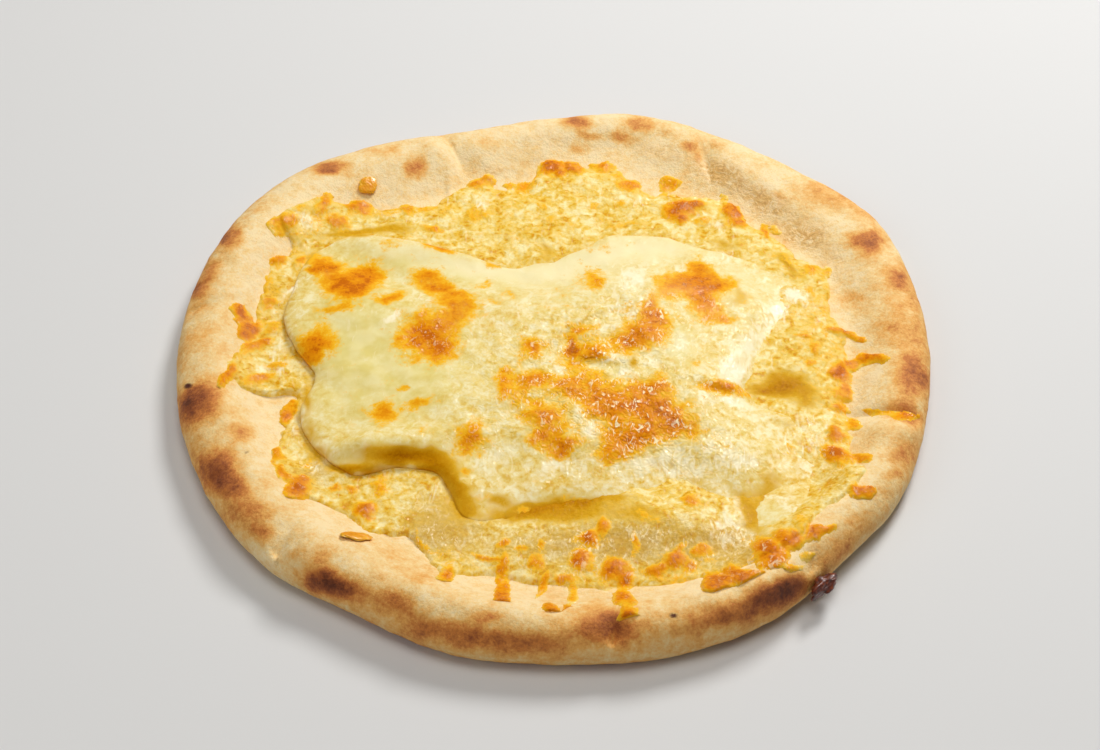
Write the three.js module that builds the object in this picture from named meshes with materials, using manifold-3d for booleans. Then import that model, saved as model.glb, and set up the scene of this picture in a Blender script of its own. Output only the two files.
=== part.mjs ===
// Megrelian khachapuri: a round cheese bread with an uneven rolled rim, a grainy layer of grated
// cheese baked onto it, and a thick melted slab of cheese on top. Millimetres, +Z up, the origin in
// the middle of the flat underside.
import * as THREE from 'three';
import { mergeVertices } from 'three/addons/utils/BufferGeometryUtils.js';
import Module from 'manifold-3d';

const wasm = await Module();
wasm.setup();

// Driving dimensions.
const FLOOR = 8.5;               // thickness of the dough under the cheese
const FOOT_INSET = 8;            // how far inside the outline the flat underside ends
const WIDEST_SHARE = 0.42;       // the rim is widest at this share of its height
const GRATED_THICKNESS = 2.2;    // grated cheese, away from its edge
const GRATED_EDGE_SHARE = 0.5;   // its edge is this share of that thickness
const GRATED_EDGE_WIDTH = 8;     // and it is full this far inside
const SLAB_THICKNESS = 7.5;      // melted slab above the grated cheese, away from its edge
const SLAB_EDGE_SHARE = 0.3;
const SLAB_EDGE_WIDTH = 12;
const BUBBLE_RISE = 0.45;        // height of a browned bubble as a share of its half width
const LOOSE_RISE = 0.7;          // the same for cheese that lies apart on the crust
const LUMP_LIFT = 1;             // middle of a lump above the dough it lies on
const GAP = 0.3;                 // clearance between pieces that lie on each other

// How finely the surfaces are cut.
const SECTORS = 120;
const WALL_RINGS = 3;
const DOME_RINGS = 3;
const RIM_RINGS = 7;
const FLOOR_RINGS = 2;
const GRATED_CELL = 8;
const SLAB_CELL = 6.5;
const OUTLINE_SIDES = 90;
const LUMP_SIDES = 8;
const LUMP_BANDS = 4;

// Stations round the bread, evenly spaced from +X towards +Y.
const OUTLINE_RADIUS = [
  150.7, 154.2, 159.2, 155, 153.4, 155.1, 147.7, 143.9, 149.4, 157, 156.8, 153.3,
  151, 149.9, 150.3, 150.8, 147.6, 150.8, 150.7, 152.9, 153.2, 149.2, 150.5, 149,
];
const CREST_HEIGHT = [16, 16, 16, 17.5, 18.5, 19.5, 20, 19.5];
const CREST_INSET = [12, 13, 12, 15, 15, 14, 11, 11];
const RIM_WIDTH = [33, 42, 38, 44, 37, 42, 35, 34];

// Folds and swellings of the dough: x, y, turn in degrees, half length, half width, height.
const DOUGH_RELIEF = [
  [-42, 119, -63, 14, 5, -2.4],
  [-51, 117, -63, 14, 6, 1.2],
  [-101, -104, 70, 12, 5, -3],
  [-92, -107, 50, 14, 7, 1.4],
  [20, -148, 80, 8, 4, -2.6],
  [79, -124, 30, 18, 8, 2.4],
  [97, -119, -50, 11, 5, -5],
  [130, -37, -10, 20, 5, -2.6],
  [131, -49, -10, 16, 6, 1.6],
  [66, 117, -80, 10, 5, -2],
  [118, 80, -45, 30, 7, -1.6],
  [96, 94, -40, 28, 6, 1.2],
  [20, 127, 0, 34, 6, -1.5],
  [-142, 22, 10, 12, 4, -1.4],
  [-128, 64, 60, 24, 8, 1.2],
  [-118, -50, -60, 20, 7, 1.2],
  [-40, -130, -20, 26, 7, 1.2],
];
const RELIEF_FADE = 4;           // the folds fade out this close to the outline

// Edge of the grated cheese, a closed curve through these points.
const GRATED_EDGE = [
  [117, 10], [112, 24], [113, 40], [106, 54], [95, 68], [82, 80], [72, 94], [56, 95], [36, 102],
  [20, 113], [-4, 114], [-12, 102], [-24, 101], [-34, 105], [-44, 96], [-56, 90], [-80, 88],
  [-100, 88], [-115, 74], [-108, 62], [-115, 52], [-119, 30], [-121, 8], [-128, -10], [-122, -22],
  [-103, -22], [-105, -44], [-107, -60], [-97, -76], [-80, -83], [-70, -92], [-54, -96],
  [-40, -113], [-24, -111], [-6, -116], [24, -118], [48, -117], [70, -114], [86, -106],
  [101, -88], [116, -74], [114, -56], [113, -30], [115, -8],
];

// Edge of the melted slab, a closed curve through these points.
const SLAB_EDGE = [
  [100, 18], [104, 32], [98, 42], [86, 52], [66, 60], [44, 67], [24, 67], [8, 57], [-14, 49],
  [-38, 56], [-60, 64], [-82, 68], [-98, 58], [-108, 34], [-108, 12], [-95, -14], [-99, -34],
  [-93, -52], [-78, -66], [-60, -62], [-44, -66], [-33, -86], [-8, -85], [20, -82], [42, -79],
  [64, -90], [78, -98], [96, -80], [102, -52], [92, -32], [84, -4],
];

// Swells and hollows of the slab's top: x, y, turn in degrees, half length, half width, height.
const SLAB_RELIEF = [
  [-62, -53, 8, 26, 7, 3],
  [-40, -66, -60, 14, 6, 1.6],
  [-4, -74, 0, 42, 9, 1.6],
  [-80, 48, -25, 30, 12, -3.2],
  [10, 50, 10, 60, 12, -2.6],
  [86, -26, 20, 14, 8, -4.2],
  [82, -84, -60, 14, 8, -4],
  [70, -52, 40, 20, 12, 1.6],
  [60, 28, -30, 26, 16, 1.8],
  [6, -8, 70, 12, 6, -2],
  [24, -40, 0, 20, 16, 1],
];

// Browned bubbles that stand on the grated cheese: x, y, half length, half width, turn in degrees.
const BUBBLES = [
  [1, 110, 9, 6, 0], [21, 110, 6, 4, -10], [31, 98, 5, 5, 0], [55, 81, 8, 8, 0],
  [77, 79, 8, 5, 90], [88, 68, 8, 4, 110], [-36, 101, 5, 4, 0], [48, 100, 5, 3.5, 50], [-84, 85, 5, 4, 90],
  [-114, 74, 5, 5, 0], [-124, 16, 12, 4, 110], [-102, -36, 8, 4, 75], [-103, -62, 10, 5, 120],
  [-96, -72, 6, 5, 0], [-71, -86, 5, 4, 90], [107, -52, 9, 5, 90], [114, -72, 7, 4, 20],
  [110, -28, 8, 4, 100], [120, 10, 10, 4, -10], [122, -5, 9, 4, 15], [115, -35, 9, 4, -6],
  [126, -37, 9, 4, -8], [136, -38, 7, 3, -8], [90, -98, 16, 5, 25], [64, -115, 13, 5, 12],
  [38, -114, 9, 5, 20], [15, -98, 6, 6, 0], [22, -114, 6, 6, 0], [24, -121, 7, 4, 80],
  [26, -129, 6, 4, 85], [-3, -122, 10, 3.5, 105], [-19, -118, 12, 3, 90], [-32, -110, 13, 3.5, 0],
];

// Cheese that lies apart on the crust: name, x, y, half length, half width, turn in degrees.
const LOOSE_CHEESE = [
  ['cheese_bit_far_left', -80, 98, 3.8, 4.2, 0],
  ['cheese_curl_near_left', -73, -100.5, 5.8, 3.2, 18],
];

// Cheese that ran through the notch of the rim and burnt there.
const BURNT_LEAK = { x: 98, y: -117, length: 7, width: 4, rise: 4, turn: 48 };

const DOUGH = new THREE.MeshStandardMaterial({ color: 0xe6c796, roughness: 0.85 });
const GRATED = new THREE.MeshStandardMaterial({ color: 0xe9cc74, roughness: 0.5 });
const SLAB = new THREE.MeshStandardMaterial({ color: 0xf3e2a0, roughness: 0.35 });
const BROWNED = new THREE.MeshStandardMaterial({ color: 0xd08a2c, roughness: 0.45 });
const BURNT = new THREE.MeshStandardMaterial({ color: 0x4a2013, roughness: 0.5 });

const QUARTER_TURN = Math.PI / 2;
const { clamp, degToRad, lerp } = THREE.MathUtils;

// From 0 to 1 along half a cosine wave.
function ease(t) {
  return 0.5 - 0.5 * Math.cos(Math.PI * clamp(t, 0, 1));
}

// From 0 to 1 along a quarter of a circle, steep at first.
function dome(t) {
  return Math.sqrt(1 - (1 - clamp(t, 0, 1)) ** 2);
}

// Value between the stations round the bread, on a closed smooth curve.
function around(stations, angle) {
  const place = (angle / (2 * Math.PI) + 1) * stations.length;
  const i = Math.floor(place);
  const t = place - i;
  const [a, b, c, d] = [-1, 0, 1, 2].map((k) => stations[(i + k) % stations.length]);
  const bend = 2 * a - 5 * b + 4 * c - d + t * (3 * (b - c) + d - a);
  return b + 0.5 * t * (c - a + t * bend);
}

// Sum of the soft mounds in a list at a point of the plan.
function relief(mounds, x, y) {
  let height = 0;
  for (const [cx, cy, degrees, length, width, rise] of mounds) {
    const turn = degToRad(degrees);
    const along = (x - cx) * Math.cos(turn) + (y - cy) * Math.sin(turn);
    const across = (y - cy) * Math.cos(turn) - (x - cx) * Math.sin(turn);
    height += rise * Math.exp(-((along / length) ** 2) - (across / width) ** 2);
  }
  return height;
}

// Height of the plain rim at a distance inside the outline.
function rimHeight(angle, inset) {
  const crest = around(CREST_HEIGHT, angle);
  const crestInset = around(CREST_INSET, angle);
  if (inset < crestInset) {
    return lerp(crest * WIDEST_SHARE, crest, dome(inset / crestInset));
  }
  const width = around(RIM_WIDTH, angle);
  return lerp(FLOOR, crest, ease((width - inset) / (width - crestInset)));
}

function doughHeight(x, y) {
  const angle = Math.atan2(y, x);
  const inset = around(OUTLINE_RADIUS, angle) - Math.hypot(x, y);
  return rimHeight(angle, inset) + ease(inset / RELIEF_FADE) * relief(DOUGH_RELIEF, x, y);
}

function toManifold(geometry) {
  const bare = geometry.clone();
  bare.deleteAttribute('normal');
  bare.deleteAttribute('uv');
  const merged = mergeVertices(bare);
  const vertProperties = new Float32Array(merged.attributes.position.array);
  const triVerts = new Uint32Array(merged.index.array);
  return new wasm.Manifold(new wasm.Mesh({ numProp: 3, vertProperties, triVerts }));
}

function toMesh(name, solid, material) {
  const { vertProperties, triVerts } = solid.getMesh();
  const geometry = new THREE.BufferGeometry();
  geometry.setAttribute('position', new THREE.BufferAttribute(new Float32Array(vertProperties), 3));
  geometry.setIndex(new THREE.BufferAttribute(new Uint32Array(triVerts), 1));
  geometry.computeVertexNormals();
  const mesh = new THREE.Mesh(geometry, material);
  mesh.name = name;
  return mesh;
}

// One ring of points round the bread; inset and height are functions of the angle and the place.
function ringOf(inset, height) {
  return Array.from({ length: SECTORS }, (_, sector) => {
    const angle = (2 * Math.PI * sector) / SECTORS;
    const radius = around(OUTLINE_RADIUS, angle) - inset(angle);
    const x = radius * Math.cos(angle);
    const y = radius * Math.sin(angle);
    return new THREE.Vector3(x, y, height(angle, x, y));
  });
}

// Closed solid over rings of points, with a middle point at either end.
function solidFromRings(rings, firstMiddle, lastMiddle) {
  const points = [firstMiddle, ...rings.flat(), lastMiddle];
  const end = points.length - 1;
  const at = (ring, sector) => 1 + ring * SECTORS + (sector % SECTORS);
  const index = [];
  for (let s = 0; s < SECTORS; s++) {
    index.push(0, at(0, s + 1), at(0, s));
    index.push(end, at(rings.length - 1, s), at(rings.length - 1, s + 1));
    for (let r = 0; r + 1 < rings.length; r++) {
      index.push(at(r, s), at(r, s + 1), at(r + 1, s + 1));
      index.push(at(r, s), at(r + 1, s + 1), at(r + 1, s));
    }
  }
  const geometry = new THREE.BufferGeometry().setFromPoints(points);
  geometry.setIndex(index);
  return toManifold(geometry);
}

// The bread: flat underside, rounded wall, the rim's dome, its slope and the floor.
function makeBread() {
  const top = (angle, x, y) => doughHeight(x, y);
  const rings = [];
  for (let k = 0; k <= WALL_RINGS; k++) {
    const turn = (QUARTER_TURN * k) / (WALL_RINGS + 1);
    const lift = WIDEST_SHARE * (1 - Math.cos(turn));
    const inset = FOOT_INSET * (1 - Math.sin(turn));
    rings.push(ringOf(() => inset, (angle) => around(CREST_HEIGHT, angle) * lift));
  }
  for (let k = 0; k < DOME_RINGS; k++) {
    const share = 1 - Math.cos((QUARTER_TURN * k) / DOME_RINGS);
    rings.push(ringOf((angle) => around(CREST_INSET, angle) * share, top));
  }
  for (let k = 0; k <= RIM_RINGS; k++) {
    const share = k / RIM_RINGS;
    const inset = (angle) => lerp(around(CREST_INSET, angle), around(RIM_WIDTH, angle), share);
    rings.push(ringOf(inset, top));
  }
  for (let k = 1; k < FLOOR_RINGS; k++) {
    const share = k / FLOOR_RINGS;
    const inset = (angle) => lerp(around(RIM_WIDTH, angle), around(OUTLINE_RADIUS, angle), share);
    rings.push(ringOf(inset, top));
  }
  return solidFromRings(rings, new THREE.Vector3(0, 0, 0), new THREE.Vector3(0, 0, FLOOR));
}

// Closed outline with even steps, through hand-set points.
function outlineOf(points) {
  const corners = points.map(([x, y]) => new THREE.Vector3(x, y, 0));
  return new THREE.CatmullRomCurve3(corners, true).getSpacedPoints(OUTLINE_SIDES).slice(1);
}

// 0 on an outline and 1 from a given distance on.
function insideShare(outline, width, x, y) {
  const distances = outline.map((point) => Math.hypot(point.x - x, point.y - y));
  return clamp(Math.min(...distances) / width, 0, 1);
}

// A layer: the space inside an outline, from a level up to a height field.
function layerUnder(outline, heightAt, bottom, cell) {
  const shape = new THREE.Shape(outline.map((point) => new THREE.Vector2(point.x, point.y)));
  const tall = 2 * Math.max(...CREST_HEIGHT);
  const prism = new THREE.ExtrudeGeometry(shape, { depth: tall, bevelEnabled: false });
  const cells = 2 * Math.ceil(Math.max(...OUTLINE_RADIUS) / cell);
  const block = new THREE.BoxGeometry(cells * cell, cells * cell, tall, cells, cells, 1);
  const position = block.attributes.position;
  for (let i = 0; i < position.count; i++) {
    const isTop = position.getZ(i) > 0;
    position.setZ(i, isTop ? heightAt(position.getX(i), position.getY(i)) : bottom);
  }
  return toManifold(prism).intersect(toManifold(block));
}

// A lump that lies on the dough and leans with it.
function lumpOnDough(x, y, length, width, rise, degrees) {
  const slopeX = doughHeight(x + 1, y) - doughHeight(x - 1, y);
  const slopeY = doughHeight(x, y + 1) - doughHeight(x, y - 1);
  const normal = new THREE.Vector3(-slopeX, -slopeY, 2).normalize();
  const up = new THREE.Vector3(0, 0, 1);
  const geometry = new THREE.SphereGeometry(1, LUMP_SIDES, LUMP_BANDS);
  geometry.rotateX(QUARTER_TURN);
  geometry.scale(length, width, rise);
  geometry.rotateZ(degToRad(degrees));
  geometry.applyQuaternion(new THREE.Quaternion().setFromUnitVectors(up, normal));
  geometry.translate(x, y, doughHeight(x, y) + LUMP_LIFT);
  return toManifold(geometry);
}

function makeGratedCheese(bread) {
  const outline = outlineOf(GRATED_EDGE);
  const top = (x, y) => {
    const inside = ease(insideShare(outline, GRATED_EDGE_WIDTH, x, y));
    return doughHeight(x, y) + GAP + GRATED_THICKNESS * lerp(GRATED_EDGE_SHARE, 1, inside);
  };
  let cheese = layerUnder(outline, top, FLOOR / 2, GRATED_CELL);
  for (const [x, y, length, width, degrees] of BUBBLES) {
    const rise = GRATED_THICKNESS * GRATED_EDGE_SHARE + BUBBLE_RISE * width;
    cheese = cheese.add(lumpOnDough(x, y, length, width, rise, degrees));
  }
  return cheese.subtract(bread.translate([0, 0, GAP]));
}

function makeSlab(bread, grated) {
  const outline = outlineOf(SLAB_EDGE);
  const rest = GRATED_THICKNESS + 2 * GAP;
  const top = (x, y) => {
    const full = dome(insideShare(outline, SLAB_EDGE_WIDTH, x, y));
    const thickness = SLAB_THICKNESS * lerp(SLAB_EDGE_SHARE, 1, full);
    return doughHeight(x, y) + rest + thickness + full * relief(SLAB_RELIEF, x, y);
  };
  return layerUnder(outline, top, FLOOR + GRATED_THICKNESS / 2, SLAB_CELL)
    .subtract(grated.translate([0, 0, GAP]))
    .subtract(bread.translate([0, 0, 3 * GAP]));
}

function makeLooseCheese(bread, [name, x, y, length, width, degrees]) {
  const lump = lumpOnDough(x, y, length, width, LOOSE_RISE * width, degrees);
  return toMesh(name, lump.subtract(bread.translate([0, 0, GAP])), BROWNED);
}

function makeBurntLeak(bread) {
  const { x, y, length, width, rise, turn } = BURNT_LEAK;
  const outward = new THREE.Vector3(x, y, 0).setLength(GAP);
  const lump = lumpOnDough(x, y, length, width, rise, turn)
    .subtract(bread.translate([0, 0, GAP]))
    .subtract(bread.translate(outward.toArray()));
  return toMesh('burnt_leak', lump, BURNT);
}

const bread = makeBread();
const grated = makeGratedCheese(bread);
const group = new THREE.Group();
group.add(toMesh('bread', bread, DOUGH));
group.add(toMesh('cheese_grated', grated, GRATED));
group.add(toMesh('cheese_slab', makeSlab(bread, grated), SLAB));
for (const item of LOOSE_CHEESE) {
  group.add(makeLooseCheese(bread, item));
}
group.add(makeBurntLeak(bread));

export default group;
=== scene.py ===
import itertools
import math

import bpy
import numpy as np
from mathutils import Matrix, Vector


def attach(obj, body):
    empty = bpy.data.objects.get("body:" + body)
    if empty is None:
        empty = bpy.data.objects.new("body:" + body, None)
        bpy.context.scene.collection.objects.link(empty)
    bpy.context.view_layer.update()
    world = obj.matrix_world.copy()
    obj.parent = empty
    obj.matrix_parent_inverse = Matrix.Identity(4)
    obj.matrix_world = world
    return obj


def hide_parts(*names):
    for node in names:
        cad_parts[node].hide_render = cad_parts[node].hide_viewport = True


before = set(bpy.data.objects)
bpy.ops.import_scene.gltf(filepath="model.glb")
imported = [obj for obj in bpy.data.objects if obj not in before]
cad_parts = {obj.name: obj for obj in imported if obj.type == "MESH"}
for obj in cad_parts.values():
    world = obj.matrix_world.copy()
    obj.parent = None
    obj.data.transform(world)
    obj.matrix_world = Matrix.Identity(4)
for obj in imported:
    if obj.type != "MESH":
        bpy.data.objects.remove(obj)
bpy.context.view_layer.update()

# Megrelian khachapuri: the looks of the bread, of the grated cheese baked onto it and of the melted
# slab on top. Lengths are in millimetres until a mesh is made; angles in lists are in degrees.
MM = 0.001

# The form of the CAD solids.
FLOOR = 8.5                      # thickness of the dough under the cheese
FOOT_INSET = 8                   # how far inside the outline the flat underside ends
WIDEST_SHARE = 0.42              # the rim is widest at this share of its height
RELIEF_FADE = 4                  # the folds fade out this close to the outline
GRATED_THICKNESS = 2.2
GRATED_EDGE_SHARE = 0.5          # the grated layer's edge is this share of its thickness
GRATED_EDGE_WIDTH = 8            # and it is full this far inside
SLAB_THICKNESS = 7.5
SLAB_EDGE_SHARE = 0.3
SLAB_EDGE_WIDTH = 12
LUMP_LIFT = 1                    # middle of a lump above the dough that it lies on
GAP = 0.3

# Radius of the outline, and the crest's height, its inset and the rim's width, evenly round the bread.
OUTLINE_RADIUS = [
    150.7, 154.2, 159.2, 155, 153.4, 155.1, 147.7, 143.9, 149.4, 157, 156.8, 153.3, 151, 149.9, 150.3,
    150.8, 147.6, 150.8, 150.7, 152.9, 153.2, 149.2, 150.5, 149,
]
CREST_HEIGHT = [16, 16, 16, 17.5, 18.5, 19.5, 20, 19.5]
CREST_INSET = [12, 13, 12, 15, 15, 14, 11, 11]
RIM_WIDTH = [33, 42, 38, 44, 37, 42, 35, 34]

# Outlines of the two layers of cheese: x, y.
GRATED_EDGE = [
    [117, 10], [112, 24], [113, 40], [106, 54], [95, 68], [82, 80], [72, 94], [56, 95], [36, 102],
    [20, 113], [-4, 114], [-12, 102], [-24, 101], [-34, 105], [-44, 96], [-56, 90], [-80, 88], [-100, 88],
    [-114, 74], [-110, 62], [-115, 52], [-119, 30], [-121, 8], [-128, -10], [-122, -22], [-103, -22],
    [-105, -44], [-107, -60], [-97, -76], [-80, -83], [-70, -92], [-54, -96], [-40, -113], [-24, -111],
    [-6, -116], [24, -118], [48, -117], [70, -114], [86, -106], [101, -88], [116, -74], [114, -56],
    [113, -30], [115, -8],
]
SLAB_EDGE = [
    [100, 18], [104, 32], [98, 42], [86, 52], [66, 60], [44, 67], [24, 67], [8, 57], [-14, 49], [-38, 56],
    [-60, 64], [-82, 68], [-98, 58], [-108, 34], [-108, 12], [-95, -14], [-99, -34], [-93, -52],
    [-78, -66], [-60, -62], [-44, -66], [-33, -86], [-8, -85], [20, -82], [42, -79], [64, -90], [78, -98],
    [96, -80], [102, -52], [92, -32], [84, -4],
]

# Mounds are rows of x, y, half length, half width, height and, where there is one, a turn.
# Folds and swellings of the dough, then creases and ridges finer than the solid's faces.
DOUGH_RELIEF = [
    [-42, 119, 14, 5, -2.4, -63], [-51, 117, 14, 6, 1.2, -63], [-101, -104, 12, 5, -3, 70],
    [-92, -107, 14, 7, 1.4, 50], [20, -148, 8, 4, -2.6, 80], [79, -124, 18, 8, 2.4, 30],
    [97, -119, 11, 5, -5, -50], [130, -37, 20, 5, -2.6, -10], [131, -49, 16, 6, 1.6, -10],
    [66, 117, 10, 5, -2, -80], [118, 80, 30, 7, -1.6, -45], [96, 94, 28, 6, 1.2, -40],
    [20, 127, 34, 6, -1.5], [-142, 22, 12, 4, -1.4, 10], [-128, 64, 24, 8, 1.2, 60],
    [-118, -50, 20, 7, 1.2, -60], [-40, -130, 26, 7, 1.2, -20],
]
DOUGH_CREASES = [
    [-44, 122, 9, 1.2, -1.3, -66], [-45, 102, 14, 1.6, 0.7, -88], [-103, -108, 9, 1.5, -1.6, 62],
    [-95, -108, 7, 1.4, -0.9, 70], [20, -149, 6, 1.1, -1.8, 84], [17.5, -150, 6, 1.3, 0.9, 84],
    [66, 114, 8, 1.3, -1, -80], [130, -35, 14, 1.4, -1.4, -12], [-145, 22, 6, 1, -0.9, 8],
    [100, -116, 7, 2.2, -1.6, -52], [-104, 4, 12, 3, 0.5, -20], [-118, -14, 10, 2.2, -0.5, -40],
    [-100, -36, 12, 2.4, -0.5, -60], [-143, 46, 7, 1.3, -0.9, 5], [-146, 36, 7, 1.2, -0.8],
    [-148, 27, 6, 1.3, -0.8, -5], [-139, -58, 7, 1.5, -0.8, 20], [-130, -72, 7, 1.5, -0.7, 30],
]
# Swells of the grated cheese.
GRATED_RELIEF = [
    [46, -90, 26, 15, 4.2, -5], [98, 2, 14, 8, 1.2, 80], [0, -98, 40, 8, 0.8], [-30, -98, 12, 3, -0.8, 60],
    [-56, -78, 16, 8, 0.8, 20],
]
# Swells and hollows of the slab, then folds finer than the solid's faces.
SLAB_RELIEF = [
    [-62, -53, 26, 7, 3, 8], [-40, -66, 14, 6, 1.6, -60], [-4, -74, 42, 9, 1.6],
    [-80, 48, 30, 12, -3.2, -25], [10, 50, 60, 12, -2.6, 10], [88, -22, 12, 8, -4.2, 10],
    [82, -84, 14, 8, -2, -60], [74, 4, 22, 9, 2.4, 78], [90, -36, 12, 4, 1.6, -20], [6, -8, 12, 6, -2, 70],
    [24, -40, 20, 16, 1],
]
SLAB_FOLDS = [
    [70, -88, 11, 3.6, -1.4, 104], [64, -86, 12, 4, 1, 104], [-84, -62, 9, 4, -1.4, 4],
    [-58, -61, 16, 3.5, -1.6, 4], [-72, -54, 6, 3, 0.8, 10], [4, 2, 9, 1.2, -1.2, 88],
    [14, 13, 14, 2, 1.1, 32], [36, 24, 10, 1.6, 1, 60], [12, -12, 9, 3, -1.2, -20],
    [-14, -30, 12, 4, 0.8, 20], [22, -11, 12, 2.4, 1, -6], [40, -4, 10, 4, 0.9, -50],
    [66, -22, 12, 1.8, 0.9, -12], [62, -26, 10, 2, -0.6, -12], [-20, 50, 26, 4, 0.8, -20],
    [36, 52, 24, 5, 0.8, 10], [-70, 40, 12, 6, -0.7, -20], [-56, 24, 10, 5, -0.7, 30],
    [10, -82, 26, 4, -0.9, -2], [34, -88, 10, 3, -0.7, -30], [-9, -6, 4.5, 4, 0.9, 10],
    [-9, -23, 5.5, 4.5, 1], [5, -28, 6, 4.5, 1.1, -10], [35, 2, 7.5, 6.5, 1.6, 15],
    [-4, -41, 6.5, 4.5, 1.1, -8], [3, -54, 6, 5, 1], [23, -58, 5, 4, 0.8], [-20, -26, 3.4, 6.5, 0.9],
    [15, -8, 6.5, 3.5, 1.2, 12],
]

# How far the slab's edge melts away into the layer under it: 0 is a rounded lip, 1 is no lip.
SLAB_SOFTNESS = [
    1, 1, 0.85, 0.65, 0.5, 0.45, 0.45, 0.5, 0.5, 0.45, 0.4, 0.35, 0.3, 0.4, 0.45, 0.4, 0.6, 0.88, 0.92,
    0.95, 1, 1, 1, 1,
]
SLAB_SOFT_WIDTH = 42             # a melted edge is full this far inside
SLAB_SOFT_DIP = 0.12             # and starts this share of the thickness below the layer's top
STRAIGHT_PULL = 1.178            # what a straight border pulls at a distance of 1

# Layers of noise: height, size of the lumps, seed.
DOUGH_LUMPS = [[0.45, 19, 1], [0.28, 8, 2], [0.12, 3.6, 3]]
CRUST_BLISTERS = [[0.3, 9, 11], [0.16, 4, 12], [0.07, 1.8, 13]]
GRATED_LOBES = [[1.2, 11, 31], [1.2, 4.6, 32], [0.7, 2.1, 33]]
GRATED_SWELLS = [[0.4, 6, 39]]
SLAB_LOBES = [[1.4, 9, 49], [0.6, 3.5, 50]]
SLAB_SWELLS = [[0.6, 16, 51], [0.25, 7, 52]]
SLAB_WRINKLES = [[0.5, 5, 53], [0.3, 2.6, 54]]
SLAB_ROUND = 60                  # radius of the circle on which the slab's lobes are drawn

# How marks are pushed about, so that they get uneven edges: size of the lumps, distance, seed.
CRUST_WARP = (7, 1.6, 21)
GRATED_WARP = (4.5, 1.5, 34)
GRATED_FINE_WARP = (1.8, 0.5, 36)
SLAB_WARP = (4, 1.6, 55)

# The grated layer's mesh: how far it reaches past its edge and its bubbles, and how near the outline
# and the middle it comes. Where there is no cheese it dips into the dough.
EDGE_MARGIN = 5
BLOB_MARGIN = 4
OUTLINE_MARGIN = 2.5
INNER_SHARE = 0.72
FILM_LIP = 1.6                   # width of the layer's rounded lip
FILM_DIP = 0.9
FILM_DIP_WIDTH = 1.2
BARE_LEVEL = -0.2                # what a bubble that lies beyond the edge stands on
COVER_START = -0.1               # height at which the layer's surface starts to show
COVER_WIDTH = 0.8                # and how much higher it shows in full
SUNK = 1.4                       # how deep the layer's hidden underside lies in the dough
GRATED_MARK_LIFT = 1.5           # the level of its marks above the dough
GRAIN_HEIGHT = 0.38
GRAIN_MEAN = 0.4
GRAINS = [[0.55, 2.6, 35], [0.35, 1.5, 37]]

# The slab's mesh: how far its side leans in and goes down past the layer under it, and the level of
# its hidden underside.
SIDE_STEPS = 6
SIDE_LEAN = 1.6
SIDE_SUNK = 1.2
UNDERSIDE_LEVEL = FLOOR + 0.6
UNDERSIDE_SHARE = 0.8            # its width as a share of the slab's

# Lumps on the crust: piece, CAD node, slot, x, y, half length, half width, half height, turn and
# how rough.
LUMPS = [
    ["toasted_bit_far_left", "cheese_bit_far_left", "browned_cheese",
     -80, 98, 3.9, 3.5, 0.84, 0, 0.36],
    ["toasted_curl_near_left", "cheese_curl_near_left", "browned_cheese",
     -73, -100.5, 5.8, 3.2, 0.768, 18, 0.36],
    ["burnt_cheese_leak", "burnt_leak", "burnt_cheese", 98, -118, 6.2, 3, 3, 48, 0.4],
]
LUMP_SEED = 61

# How finely the meshes are cut.
SECTORS = 1040
UNDERSIDE_RINGS = 4
WALL_RINGS = 12
DOME_RINGS = 20
SLOPE_RINGS = 44
FLOOR_RINGS = 4
GRATED_RINGS = 76
GRATED_UNDER_RINGS = 9
SLAB_CELLS = 270
SLAB_LIP_RINGS = 22
LUMP_SIDES = 56
LUMP_BANDS = 32

# The photograph's view. Marks are placed where its lines of sight meet a level through the rim.
AIM = (-1.7, -7.5, 6.0)
VIEW_ELEVATION = 45.78
VIEW_DISTANCE = 914.3
LENS = 75
SENSOR = 36
MARK_LEVEL = 12
MARK_SHIFT = 1.3

# The studio, in metres. Lights: name, place, diameter, watts, whether it shows in gloss.
LIGHTS = [
    ["key", (0.57, 0.88, 1.07), 0.5, 17.5, True],
    ["overhead", (0.0, -0.15, 1.6), 0.9, 8.4, False],
    ["fill", (-1.1, -0.8, 1.0), 1.0, 4.2, False],
]
SKY = (1, 0.97, 0.92, 1)
SKY_STRENGTH = 0.15
FLOOR_REACH = 3
FLOOR_TONE = (214, 213, 211)

# Marks are rows of x, y, half length, half width, strength and, where there is one, a turn. Those of
# the crust and the slab's darkest have this sharpness of edge, its browned spots the next and the
# others 1.
SHARPNESS = 1.5
SPOT_SHARPNESS = 1.1

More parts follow.
